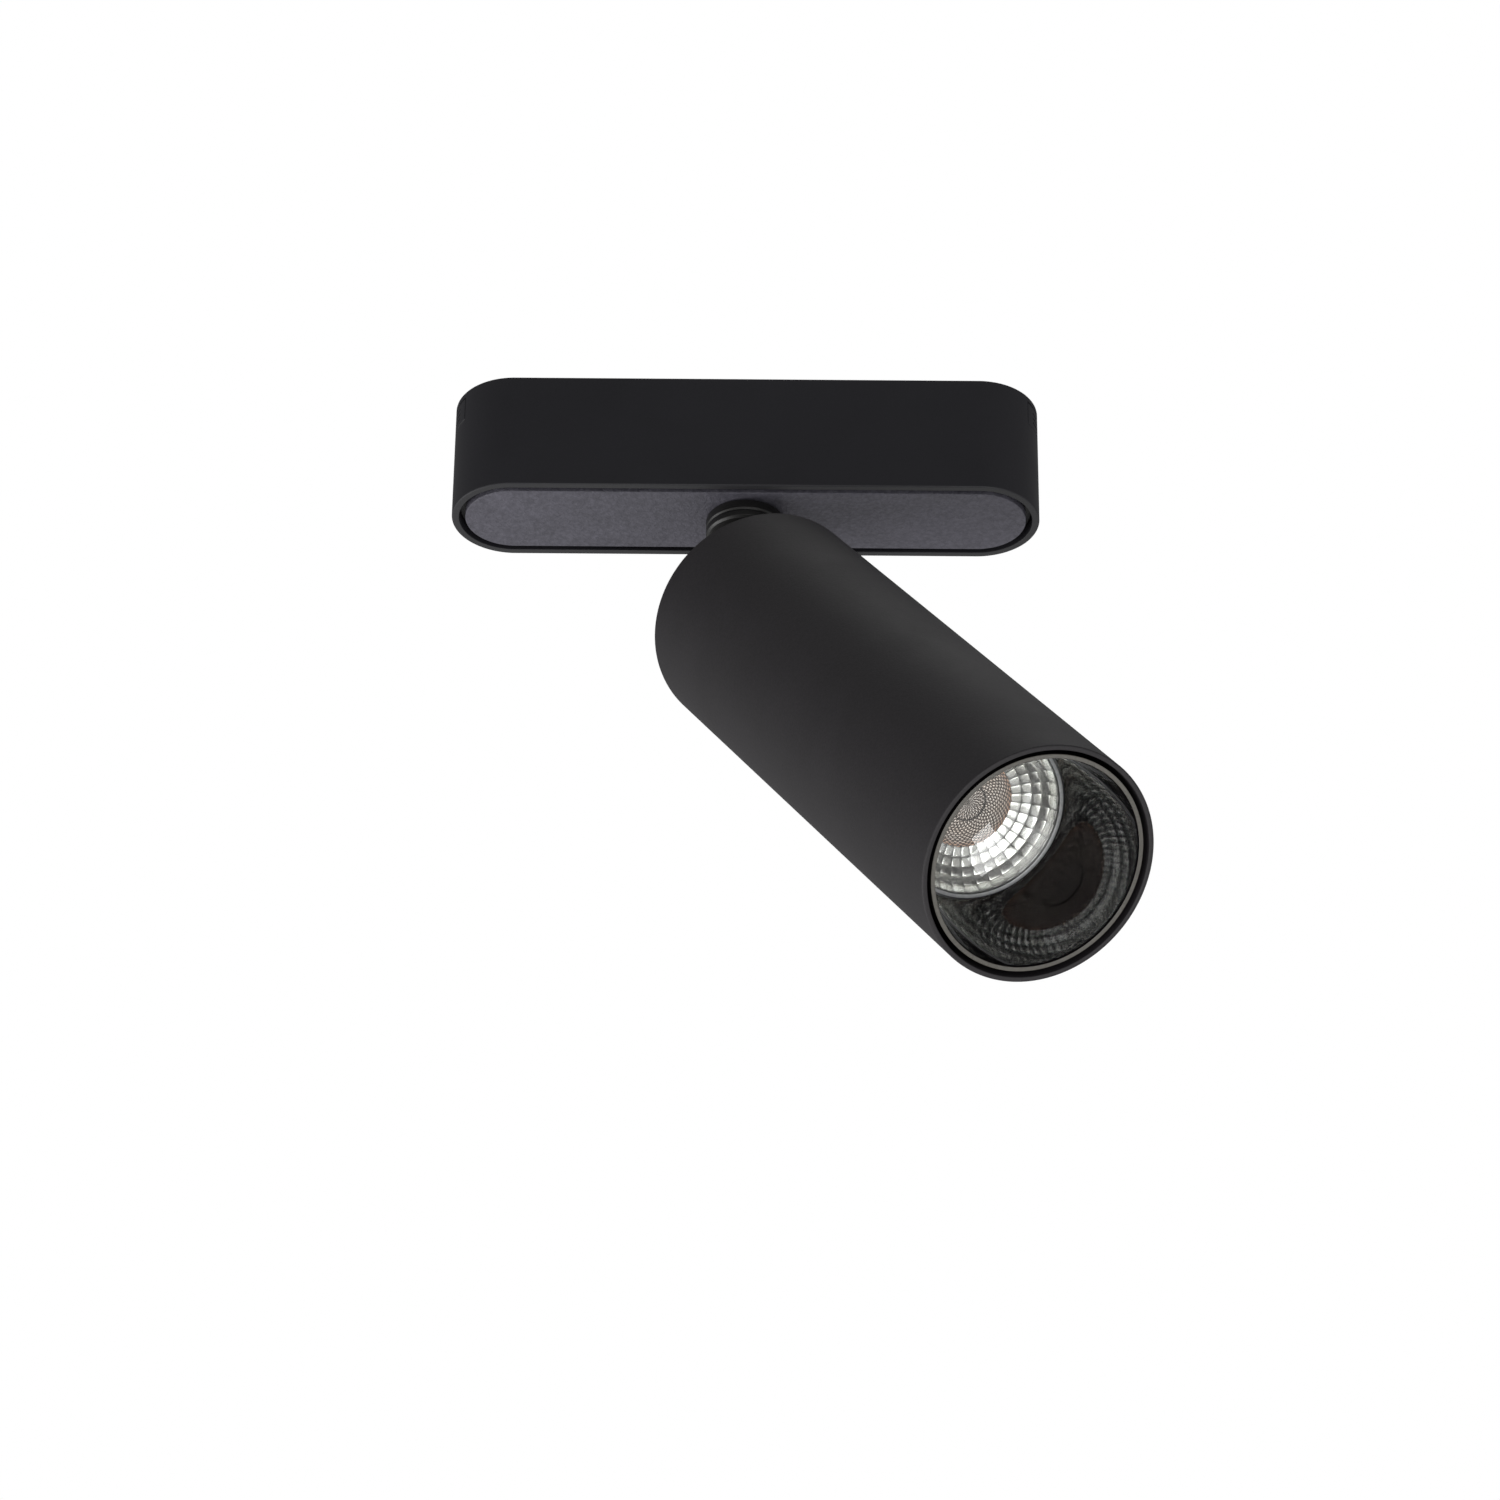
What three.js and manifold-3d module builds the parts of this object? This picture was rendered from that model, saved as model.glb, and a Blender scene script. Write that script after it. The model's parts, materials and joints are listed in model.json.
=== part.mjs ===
// Track spotlight: a cylindrical lamp head on a tilting, swivelling neck under a slim driver box
// that hangs from a surface-mounted low-voltage track. Millimetres, +Z up, +X along the track.
// The origin is the centre of the box's top face, which lies against the track.

import * as THREE from "three";
import { mergeVertices } from "three/addons/utils/BufferGeometryUtils.js";
import Module from "manifold-3d";

// Driving dimensions of the driver box.
const BOX_LENGTH = 144;
const BOX_WIDTH = 30.2;
const BOX_HEIGHT = 32;
const BOX_WALL = 1.8;
const RIM_GAP = 1.5;
const PLATE_THICK = 2.6;
const FRAME_THICK = 1.6;
const COVER_THICK = 1.2;

// Driving dimensions of the lamp head.
const TUBE_RADIUS = 27.5;
const TUBE_WALL = 1.2;
const TUBE_LENGTH = 160.4;
const PIVOT_DROP = 25.5;
const PIVOT_TO_TUBE = 10.6;
const BAFFLE_DEPTH = 31.15;
const LIP_RECESS = 0.6;
const LIP_RADIUS = 25.2;
const MOUTH_RADIUS = 24.25;
const THROAT_RADIUS = 20.05;

// Where the lamp points at rest: degrees about the neck, and degrees up from straight down.
const SWIVEL_REST = -55.05;
const TILT_REST = 41.45;

// Clearances and roundness.
const GAP = 0.3;
const ROUND = 48;
const MEDIUM = 32;
const SMALL = 12;

const PIVOT_Z = -BOX_HEIGHT - PIVOT_DROP;
const TUBE_BACK = -PIVOT_TO_TUBE;
const TUBE_FRONT = TUBE_BACK - TUBE_LENGTH;
const TUBE_BORE = TUBE_RADIUS - TUBE_WALL;
const OPTIC_FRONT = TUBE_FRONT + BAFFLE_DEPTH;

const wasm = await Module();
wasm.setup();

// A closed geometry as a solid that can be joined and cut.
function solid(geometry) {
  const bare = geometry.clone();
  bare.deleteAttribute("normal");
  bare.deleteAttribute("uv");
  const merged = mergeVertices(bare, 1e-4);
  const corners = merged.index.array;
  const faces = [];
  for (let i = 0; i < corners.length; i += 3) {
    const [a, b, c] = corners.slice(i, i + 3);
    if (a !== b && b !== c && c !== a) faces.push(a, b, c);
  }
  return new wasm.Manifold(
    new wasm.Mesh({
      numProp: 3,
      vertProperties: merged.attributes.position.array,
      triVerts: new Uint32Array(faces),
    }),
  );
}

// A solid as a named mesh.
function piece(name, shape, material) {
  const { vertProperties, triVerts } = shape.getMesh();
  const geometry = new THREE.BufferGeometry();
  geometry.setAttribute("position", new THREE.BufferAttribute(vertProperties, 3));
  geometry.setIndex(new THREE.BufferAttribute(triVerts, 1));
  geometry.computeVertexNormals();
  const mesh = new THREE.Mesh(geometry, material);
  mesh.name = name;
  return mesh;
}

const joined = (...shapes) => shapes.reduce((whole, next) => whole.add(next));
const cut = (body, ...tools) => tools.reduce((left, tool) => left.subtract(tool), body);

function block([x0, x1], [y0, y1], [z0, z1]) {
  const geometry = new THREE.BoxGeometry(x1 - x0, y1 - y0, z1 - z0);
  return solid(geometry.translate((x0 + x1) / 2, (y0 + y1) / 2, (z0 + z1) / 2));
}

// A round bar along Z.
function drum(radius, [z0, z1], sides = SMALL, x = 0, y = 0) {
  const geometry = new THREE.CylinderGeometry(radius, radius, z1 - z0, sides);
  return solid(geometry.rotateX(Math.PI / 2).translate(x, y, (z0 + z1) / 2));
}

// A round bar along Y.
function crossDrum(radius, [y0, y1], sides = SMALL) {
  const geometry = new THREE.CylinderGeometry(radius, radius, y1 - y0, sides);
  return solid(geometry.translate(0, (y0 + y1) / 2, 0));
}

// A turned shape about Z from an outline of [radius, z] corners, in either direction.
function turned(outline, sides) {
  const points = outline.map(([radius, z]) => new THREE.Vector2(radius, z));
  if (THREE.ShapeUtils.area(points) < 0) points.reverse();
  if (outline.every(([radius]) => radius > 0)) points.push(points[0].clone());
  return solid(new THREE.LatheGeometry(points, sides).rotateX(Math.PI / 2));
}

// A flat bar with half-round ends, long along X.
function stadium(length, width, [z0, z1]) {
  const radius = width / 2;
  const reach = length / 2 - radius;
  const outline = new THREE.Shape();
  outline.absarc(reach, 0, radius, -Math.PI / 2, Math.PI / 2, false);
  outline.absarc(-reach, 0, radius, Math.PI / 2, Math.PI * 1.5, false);
  const geometry = new THREE.ExtrudeGeometry(outline, {
    depth: z1 - z0,
    bevelEnabled: false,
    curveSegments: ROUND / 4,
  });
  return solid(geometry.translate(0, 0, z0));
}

// A round wire along a smooth curve. A full circle gets two sides for each curve segment.
function wire(curve, radius, steps, sides) {
  const section = new THREE.Shape();
  section.absarc(0, 0, radius, 0, Math.PI * 2, false);
  const geometry = new THREE.ExtrudeGeometry(section, {
    extrudePath: curve,
    steps,
    bevelEnabled: false,
    curveSegments: sides / 2,
  });
  return solid(geometry);
}

function routed(points, radius, steps) {
  const curve = new THREE.CatmullRomCurve3(points.map((p) => new THREE.Vector3(...p)));
  return wire(curve, radius, steps, 8);
}

// A compression spring along Z, as an open helix.
class Helix extends THREE.Curve {
  constructor(radius, z0, z1, turns) {
    super();
    Object.assign(this, { radius, z0, z1, turns });
  }

  getPoint(t, target = new THREE.Vector3()) {
    const angle = t * this.turns * Math.PI * 2;
    const x = this.radius * Math.cos(angle);
    const y = this.radius * Math.sin(angle);
    return target.set(x, y, this.z0 + (this.z1 - this.z0) * t);
  }
}

function spring(radius, wireRadius, [z0, z1], turns) {
  const helix = new Helix(radius, z0 + wireRadius, z1 - wireRadius, turns);
  return wire(helix, wireRadius, turns * 7, 6);
}

const finish = (color, roughness, metalness) =>
  new THREE.MeshStandardMaterial({ color, roughness, metalness });
const satinBlack = () => finish(0x1d1c20, 0.45, 0.1);
const powderBlack = () => finish(0x242326, 0.7, 0.1);
const plateGrey = () => finish(0x3c3c41, 0.65, 0.1);
const mouldedBlack = () => finish(0x141416, 0.6, 0);
const glossBlack = () => finish(0x08080a, 0.12, 0);
const steel = () => finish(0xb4b6b8, 0.3, 1);
const blackSteel = () => finish(0x1b1b1c, 0.4, 0.8);
const brass = () => finish(0xc9a24e, 0.3, 1);
const bareAluminium = () => finish(0xc4c6c8, 0.4, 1);
const boardGreen = () => finish(0x1f5c3a, 0.5, 0);
const boardWhite = () => finish(0xe8e8e4, 0.5, 0);
const clearPlastic = () => finish(0xdfe4e6, 0.05, 0);
const nylonWhite = () => finish(0xe4e2da, 0.5, 0);

// ---- Driver box ----

const BOX_BOTTOM = -BOX_HEIGHT;
const PLATE_TOP = BOX_BOTTOM + PLATE_THICK;
const FRAME_LOW = PLATE_TOP + GAP;
const FRAME_TOP = FRAME_LOW + FRAME_THICK;
const BORE_LENGTH = BOX_LENGTH - 2 * BOX_WALL;
const BORE_WIDTH = BOX_WIDTH - 2 * BOX_WALL;
const INSET_LENGTH = BORE_LENGTH - 2 * GAP;
const INSET_WIDTH = BORE_WIDTH - 2 * GAP;
const NECK_HOLE = 5.4;

// The end windows and the release tabs in them.
const TAB_HALF_WIDTH = 8.4;
const TAB_TOP = -1.8;
const TAB_LOW = -8.2;
const TAB_TRAVEL = 1.5;
const RIB_SPAN = [51.5, 57.5];
const RIB_HALF_WIDTH = 5.6;

// Screws and bosses along the box.
const BOSS_X = 29;
const COVER_SCREW_HEAD = 2.3;
const COVER_SCREW_TOP = -0.2;
const COVER_SCREW_SEAT = -2.1;
const COVER_PAD_RADIUS = 3.3;
const COVER_PAD_LOW = -3.3;
const PLATE_SCREW_X = 62;
const BOARD_SPAN = [-16.4, -15];

function housing() {
  const outside = stadium(BOX_LENGTH, BOX_WIDTH, [BOX_BOTTOM, 0]);
  const inside = stadium(BORE_LENGTH, BORE_WIDTH, [BOX_BOTTOM - 1, 1]);
  let shell = cut(outside, inside);
  const ledgeInner = BORE_WIDTH / 2 - 1.1;
  const ledgeOuter = BORE_WIDTH / 2 + 0.5;
  const ledgeReach = BOX_LENGTH / 2 - BOX_WIDTH / 2;
  for (const side of [-1, 1]) {
    const across = [ledgeInner * side, ledgeOuter * side].sort((a, b) => a - b);
    for (const heights of [[-30.7, -29.5], [-2.7, -1.5]])
      shell = joined(shell, block([-ledgeReach, ledgeReach], across, heights));
    const along = [60 * side, 75 * side].sort((a, b) => a - b);
    const window = TAB_HALF_WIDTH + GAP;
    shell = cut(shell, block(along, [-window, window], [TAB_LOW - GAP, TAB_TOP + GAP]));
  }
  return shell;
}

function bottomPlate() {
  const inset = 2 * (BOX_WALL + RIM_GAP);
  let plate = stadium(BOX_LENGTH - inset, BOX_WIDTH - inset, [BOX_BOTTOM, PLATE_TOP]);
  plate = cut(plate, drum(NECK_HOLE, [BOX_BOTTOM - 1, PLATE_TOP + 1], MEDIUM));
  for (const x of [-PLATE_SCREW_X, PLATE_SCREW_X])
    plate = cut(plate, drum(1.5, [BOX_BOTTOM + 0.8, PLATE_TOP + 1], SMALL, x));
  return plate;
}

// The swivel's end stop stands in the frame, opposite the lug of the stop washer.
const STOP_RADIUS = 11.5;
const STOP_ANGLE = THREE.MathUtils.degToRad(SWIVEL_REST + 180);
const STOP_X = STOP_RADIUS * Math.cos(STOP_ANGLE);
const STOP_Y = STOP_RADIUS * Math.sin(STOP_ANGLE);

function innerFrame() {
  let frame = stadium(INSET_LENGTH, INSET_WIDTH, [FRAME_LOW, FRAME_TOP]);
  const through = [FRAME_LOW - 1, FRAME_TOP + 1];
  for (const x of [-BOSS_X, BOSS_X]) {
    const seat = drum(3.4, [FRAME_TOP - 0.5, BOARD_SPAN[0] - GAP], SMALL, x);
    const post = drum(2.5, [FRAME_TOP, COVER_PAD_LOW - GAP], SMALL, x);
    frame = cut(joined(frame, seat, post), drum(1.5, [-13, 0], SMALL, x));
  }
  for (const x of [-PLATE_SCREW_X, PLATE_SCREW_X])
    frame = cut(frame, drum(1.6, through, SMALL, x));
  frame = cut(frame, drum(NECK_HOLE, through, MEDIUM));
  return cut(frame, drum(1.3, through, SMALL, STOP_X, STOP_Y));
}

// Magnets, contact block and claws stand in the track's channel, above the top face.
const MAGNET_SPAN = [33.5, 47.5];
const MAGNET_HALF_WIDTH = 7.1;
const MAGNET_HEIGHTS = [0.5, 3];
const CONTACT_SPAN = [8, 24];
const CONTACT_HALF_WIDTH = 7;
const CONTACT_X = [12, 20];
const CONTACT_Y = [-3.6, 3.6];
const SPRING_SEAT_X = 43;

const mirrored = ([low, high], side) => (side > 0 ? [low, high] : [-high, -low]);
const widened = ([low, high], by) => [low - by, high + by];

function topCover() {
  let cover = stadium(INSET_LENGTH, INSET_WIDTH, [-COVER_THICK, 0]);
  const through = [-COVER_THICK - 1, 1];
  const halfMagnet = MAGNET_HALF_WIDTH;
  for (const end of [-1, 1]) {
    const magnetX = mirrored(MAGNET_SPAN, end);
    const tray = block(widened(magnetX, 1.5), [-halfMagnet - 1.5, halfMagnet + 1.5], [-0.5, 3]);
    const pocket = block(
      widened(magnetX, GAP),
      [-halfMagnet - GAP, halfMagnet + GAP],
      [MAGNET_HEIGHTS[0] - GAP, 4],
    );
    cover = cut(joined(cover, tray), pocket);
    const slotX = mirrored([RIB_SPAN[0] - TAB_TRAVEL - GAP, RIB_SPAN[1] + GAP], end);
    const slotHalf = RIB_HALF_WIDTH + GAP;
    cover = cut(cover, block(slotX, [-slotHalf, slotHalf], through));
    for (const side of [-1, 1]) {
      const claw = block(mirrored([52, 58], end), mirrored([6.6, 8.6], side), [-0.5, 4.2]);
      const barb = block(mirrored([52, 58], end), mirrored([8.4, 9.3], side), [3.4, 4.2]);
      const rail = block(mirrored([41.5, 64], end), mirrored([6.6, 7.8], side), [-8.4, -0.5]);
      cover = joined(cover, claw, barb, rail);
    }
    const seat = block(mirrored([41.5, SPRING_SEAT_X], end), [-7, 7], [-8.4, -0.5]);
    cover = joined(cover, seat);
    const bossX = end * BOSS_X;
    const sunk = drum(COVER_SCREW_HEAD + GAP, [COVER_SCREW_SEAT, 1], SMALL, bossX);
    const hole = drum(1.5, [COVER_PAD_LOW - 1, 1], SMALL, bossX);
    cover = joined(cover, drum(COVER_PAD_RADIUS, [COVER_PAD_LOW, -0.5], SMALL, bossX));
    cover = cut(cover, sunk, hole);
  }
  const windowHalf = CONTACT_HALF_WIDTH + GAP;
  return cut(cover, block(widened(CONTACT_SPAN, GAP), [-windowHalf, windowHalf], through));
}

function magnet(end) {
  const half = MAGNET_HALF_WIDTH;
  return block(mirrored(MAGNET_SPAN, end), [-half, half], MAGNET_HEIGHTS);
}

function contactBlock() {
  const half = CONTACT_HALF_WIDTH;
  let body = block(CONTACT_SPAN, [-half, half], [-8.8, 3.4]);
  body = joined(body, block(widened(CONTACT_SPAN, 1.4), [-half - 1.2, half + 1.2], [-2.9, -1.5]));
  for (const x of CONTACT_X)
    for (const y of CONTACT_Y)
      body = cut(body, drum(1.3, [2, 4], SMALL, x, y), drum(2.1, [-9, 2.4], SMALL, x, y));
  return body;
}

const contactPin = () =>
  turned(
    [
      [0, 5],
      [0.8, 4.8],
      [1.2, 4.2],
      [1.2, 2.1],
      [1.9, 2.1],
      [1.9, 1.2],
      [0.8, 1.2],
      [0.8, -2.6],
      [0, -2.6],
    ],
    SMALL,
  );

// The release tab at the +X end: a piece of the end wall on a slide with a blocking rib.
function releaseTab() {
  const wall = cut(
    stadium(BOX_LENGTH, BOX_WIDTH, [TAB_LOW, TAB_TOP]),
    stadium(BORE_LENGTH, BORE_WIDTH, [TAB_LOW - 1, TAB_TOP + 1]),
  );
  const halfWidth = TAB_HALF_WIDTH;
  const face = wall.intersect(block([60, 75], [-halfWidth, halfWidth], [TAB_LOW, TAB_TOP]));
  const slide = block([50, 70.8], [-5.8, 5.8], [-7.4, -3.2]);
  const rib = block(RIB_SPAN, [-RIB_HALF_WIDTH, RIB_HALF_WIDTH], [-3.5, 2.6]);
  return joined(face, slide, rib);
}

const tabSpring = () => spring(1.6, 0.25, [SPRING_SEAT_X + GAP, 50 - GAP], 4);

function driverBoard() {
  const board = block([-57, 57], [-10.8, 10.8], BOARD_SPAN);
  return cut(
    board,
    drum(2.9, [-18, -13], SMALL, -BOSS_X),
    drum(2.9, [-18, -13], SMALL, BOSS_X),
  );
}

function transformer() {
  const core = block([-52, -38], [-7.5, 7.5], [-26, -16.7]);
  const windows = [-1, 1].map((side) =>
    block([-49.5, -40.5], mirrored([5.2, 8], side), [-24, -18.7]),
  );
  return cut(core, ...windows);
}

function screw(headRadius, shankRadius, headTop, headLow, tip, x, y = 0) {
  const shape = joined(
    drum(headRadius, [headLow, headTop], SMALL, x, y),
    drum(shankRadius, [tip, headLow + 0.2], SMALL, x, y),
  );
  return cut(shape, drum(headRadius * 0.45, [headTop - 0.8, headTop + 1], 6, x, y));
}

const driverBox = new THREE.Group();
driverBox.add(
  piece("housing", housing(), satinBlack()),
  piece("bottom_plate", bottomPlate(), plateGrey()),
  piece("inner_frame", innerFrame(), mouldedBlack()),
  piece("top_cover", topCover(), mouldedBlack()),
  piece("magnet_right", magnet(1), steel()),
  piece("magnet_left", magnet(-1), steel()),
  piece("contact_block", contactBlock(), mouldedBlack()),
  piece("contact_board", block([7, 25], [-8, 8], [-10.2, -9.1]), boardGreen()),
  piece("driver_board", driverBoard(), boardGreen()),
  piece("transformer", transformer(), mouldedBlack()),
  piece("driver_chip", block([-18, -9], [-3.5, 3.5], [-14.7, -13.1]), mouldedBlack()),
  piece("input_connector", block([14.5, 22.5], [-5, 5], [-22.5, -16.7]), nylonWhite()),
  piece("output_connector", block([-22.5, -14.5], [-5, 5], [-22.5, -16.7]), nylonWhite()),
  piece("stop_pin", drum(1, [FRAME_LOW, FRAME_TOP + 2.9], SMALL, STOP_X, STOP_Y), steel()),
);

const capacitorLength = 14;
const capacitor = piece("capacitor", drum(4, [0, capacitorLength], 24), bareAluminium());
capacitor.rotation.y = Math.PI / 2;
capacitor.position.set(38, 0, -21.2);
driverBox.add(capacitor);

for (const [end, side] of [[-1, "left"], [1, "right"]]) {
  const headLow = COVER_SCREW_SEAT + GAP;
  const bossX = end * BOSS_X;
  const coverScrew = screw(COVER_SCREW_HEAD, 1.2, COVER_SCREW_TOP, headLow, -11, bossX);
  driverBox.add(piece(`cover_screw_${side}`, coverScrew, steel()));
  const plateScrew = screw(2.5, 1.2, FRAME_TOP + 1.9, FRAME_TOP + GAP, -30.9, end * PLATE_SCREW_X);
  driverBox.add(piece(`plate_screw_${side}`, plateScrew, steel()));

  const tab = piece(`release_tab_${side}`, releaseTab(), satinBlack());
  tab.rotation.z = end > 0 ? 0 : Math.PI;
  driverBox.add(tab);
  const coil = piece(`tab_spring_${side}`, tabSpring(), steel());
  coil.rotation.y = (Math.PI / 2) * end;
  coil.position.set(0, 0, -5.3);
  driverBox.add(coil);

  const wireSide = end * 5;
  const supplyRoute = [
    [25.4, wireSide, -9.65],
    [27.6, wireSide, -9.9],
    [28.6, wireSide, -11.9],
    [27.4, wireSide, -13.4],
    [27, wireSide, -14.6],
  ];
  const insulation = finish(end > 0 ? 0xb02a22 : 0x161616, 0.5, 0);
  driverBox.add(piece(`supply_wire_${side}`, routed(supplyRoute, 0.6, 12), insulation));
}

CONTACT_X.forEach((x, column) =>
  CONTACT_Y.forEach((y, row) => {
    const number = column * 2 + row + 1;
    const pin = piece(`contact_pin_${number}`, contactPin(), brass());
    const coil = piece(`contact_spring_${number}`, spring(1.45, 0.22, [-8.6, 0.9], 4), steel());
    for (const mesh of [pin, coil]) {
      mesh.position.set(x, y, 0);
      driverBox.add(mesh);
    }
  }),
);

const CABLE_RADIUS = 1.1;
const NECK_TOP = -20.5;
const boxCableRoute = [
  [-14.1, 0, -18.3],
  [-9, 0, -17.9],
  [-4, 0, -17.9],
  [-0.8, 0, -18.6],
  [0, 0, NECK_TOP + GAP],
];
driverBox.add(piece("box_cable", routed(boxCableRoute, CABLE_RADIUS, 12), mouldedBlack()));

// ---- Neck, in a frame with its origin at the tilt pivot ----

const BOX_UNDERSIDE = PIVOT_DROP;
const COLLAR_RADIUS = 9.65;
const NECK_RADIUS = 8.3;
const SHANK_RADIUS = 5;
const SHANK_TOP = NECK_TOP - PIVOT_Z;
const FORK_HALF_GAP = 4.6;
const PIVOT_HOLE = 2.3;
const HEAD_SEAT = 6.4;

function swivelNeck() {
  const collarTop = BOX_UNDERSIDE - GAP;
  const roundEnd = [0, 1, 2, 3, 4].map((step) => {
    const angle = (step / 5) * (Math.PI / 2);
    return [NECK_RADIUS * Math.cos(angle), -NECK_RADIUS * Math.sin(angle)];
  });
  const body = turned(
    [
      [0, SHANK_TOP],
      [SHANK_RADIUS, SHANK_TOP],
      [SHANK_RADIUS, collarTop],
      [COLLAR_RADIUS, collarTop],
      [COLLAR_RADIUS, collarTop - 2.3],
      [COLLAR_RADIUS - 0.4, collarTop - 2.7],
      [COLLAR_RADIUS, collarTop - 3.1],
      [COLLAR_RADIUS, collarTop - 4.5],
      [COLLAR_RADIUS - 0.6, collarTop - 5],
      [NECK_RADIUS, collarTop - 5],
      ...roundEnd,
      [0, -NECK_RADIUS],
    ],
    MEDIUM,
  );
  const slot = block([-12, 12], [-FORK_HALF_GAP, FORK_HALF_GAP], [-12, 9.2]);
  const cableBore = drum(1.9, [8, SHANK_TOP + 1]);
  const pivotBore = crossDrum(PIVOT_HOLE, [-12, 12]);
  const headSeat = crossDrum(4, [HEAD_SEAT, 12], 24);
  const nutSeat = crossDrum(4, [-12, -HEAD_SEAT], 24);
  return cut(body, slot, cableBore, pivotBore, headSeat, nutSeat);
}

function stopWasher() {
  const washerSpan = [FRAME_TOP + 1.4, FRAME_TOP + 2.4].map((z) => z - PIVOT_Z);
  const lug = block([6, STOP_RADIUS + 1.3], [-1, 1], washerSpan);
  return cut(joined(drum(8.2, washerSpan, 32), lug), drum(5.3, widened(washerSpan, 1), MEDIUM));
}

function flatWasher(radius, hole, span) {
  return cut(drum(radius, span, 32), drum(hole, widened(span, 1), MEDIUM));
}

function pivotScrew() {
  const shape = joined(
    crossDrum(2, [-7.9, HEAD_SEAT + 0.6]),
    crossDrum(3.5, [HEAD_SEAT + GAP, 8], 24),
  );
  return cut(shape, crossDrum(1.5, [7.1, 9], 6));
}

function pivotNut() {
  return cut(crossDrum(3.6, [-8, -HEAD_SEAT - GAP], 6), crossDrum(PIVOT_HOLE, [-9, -6]));
}

const pivotWasher = ([y0, y1]) => cut(crossDrum(6, [y0, y1], 24), crossDrum(PIVOT_HOLE, [-9, 9]));

const slideWasherSpan = [FRAME_TOP + 0.3, FRAME_TOP + 1.1].map((z) => z - PIVOT_Z);
const nutSpan = [FRAME_TOP + 2.7, FRAME_TOP + 6.2].map((z) => z - PIVOT_Z);
const neck = new THREE.Group();
neck.position.z = PIVOT_Z;
neck.rotation.z = THREE.MathUtils.degToRad(SWIVEL_REST);
neck.add(
  piece("swivel_neck", swivelNeck(), satinBlack()),
  piece("slide_washer", flatWasher(8.6, 5.3, slideWasherSpan), nylonWhite()),
  piece("stop_washer", stopWasher(), steel()),
  piece("neck_nut", cut(drum(8.1, nutSpan, 6), drum(5.3, widened(nutSpan, 1), MEDIUM)), steel()),
  piece("pivot_screw", pivotScrew(), blackSteel()),
  piece("pivot_nut", pivotNut(), blackSteel()),
  piece("pivot_washer_near", pivotWasher([3.85, 4.35]), steel()),
  piece("pivot_washer_far", pivotWasher([-4.35, -3.85]), steel()),
  piece("neck_cable", drum(CABLE_RADIUS, [3.2, SHANK_TOP - GAP]), mouldedBlack()),
);

// ---- Lamp head, hanging straight down from the pivot before it is tilted ----

const INSERT_RADIUS = TUBE_BORE - 0.4;
const CAP_FACE = TUBE_BACK - 0.6;
const CAP_LOW = CAP_FACE - 4.4;
const TIE_Y = 15;
const HOLDER_SCREW_Y = 16;
const HEAD_CABLE_X = 17;
const SINK_BACK = -70;
const SINK_BASE = [-121.6, -115.6];
const FIN_COUNT = 16;
const FIN_THICK = 1.5;

function headTube() {
  const chamfer = 0.35;
  return turned(
    [
      [TUBE_RADIUS - chamfer, TUBE_BACK],
      [TUBE_RADIUS, TUBE_BACK - chamfer],
      [TUBE_RADIUS, TUBE_FRONT + chamfer],
      [TUBE_RADIUS - chamfer, TUBE_FRONT],
      [TUBE_BORE, TUBE_FRONT],
      [TUBE_BORE, TUBE_BACK],
    ],
    ROUND,
  );
}

function rearCap() {
  const disc = turned(
    [
      [0, CAP_FACE],
      [INSERT_RADIUS - 0.5, CAP_FACE],
      [INSERT_RADIUS, CAP_FACE - 0.5],
      [INSERT_RADIUS, CAP_LOW - 5],
      [INSERT_RADIUS - 1.6, CAP_LOW - 5],
      [INSERT_RADIUS - 1.6, CAP_LOW],
      [0, CAP_LOW],
    ],
    ROUND,
  );
  const knuckle = joined(
    block([-5.2, 5.2], [-3.6, 3.6], [CAP_FACE - 1, 0]),
    crossDrum(5.8, [-3.6, 3.6], 32),
  );
  const cap = cut(
    joined(disc, knuckle),
    block([-8, 8], [-1.6, 1.6], [CAP_FACE, 8]),
    crossDrum(PIVOT_HOLE, [-9, 9]),
    drum(CABLE_RADIUS + GAP, [CAP_LOW - 1, CAP_FACE + 1]),
  );
  const ties = [-TIE_Y, TIE_Y].flatMap((y) => [
    drum(1.8, [CAP_LOW - 1, CAP_FACE + 1], SMALL, 0, y),
    drum(3.3, [CAP_FACE - 2.3, CAP_FACE + 1], SMALL, 0, y),
  ]);
  return cut(cap, ...ties);
}

function heatSink() {
  const radius = INSERT_RADIUS - 0.2;
  let sink = drum(8, [SINK_BASE[1] - 0.5, SINK_BACK], 24);
  for (let i = 0; i < FIN_COUNT; i++) {
    const fin = new THREE.BoxGeometry(radius - 6, FIN_THICK, SINK_BACK - SINK_BASE[1] + 0.5);
    fin.translate(6 + (radius - 6) / 2, 0, (SINK_BACK + SINK_BASE[1] - 0.5) / 2);
    fin.rotateZ(((i + 0.5) / FIN_COUNT) * Math.PI * 2);
    sink = joined(sink, solid(fin));
  }
  sink = joined(sink, drum(radius, SINK_BASE, ROUND));
  for (const side of [-1, 1]) {
    sink = joined(sink, drum(3.2, [SINK_BASE[1] - 0.5, SINK_BACK], SMALL, 0, side * TIE_Y));
    sink = cut(
      sink,
      drum(1.8, [SINK_BACK - 14, SINK_BACK + 1], SMALL, 0, side * TIE_Y),
      drum(1.5, [SINK_BASE[0] - 1, SINK_BASE[0] + 3.6], SMALL, 0, side * HOLDER_SCREW_Y),
    );
  }
  return cut(sink, drum(1.6, widened(SINK_BASE, 1), SMALL, HEAD_CABLE_X));
}

const HOLDER_SPAN = [SINK_BASE[0] - 4.3, SINK_BASE[0] - GAP];

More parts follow.
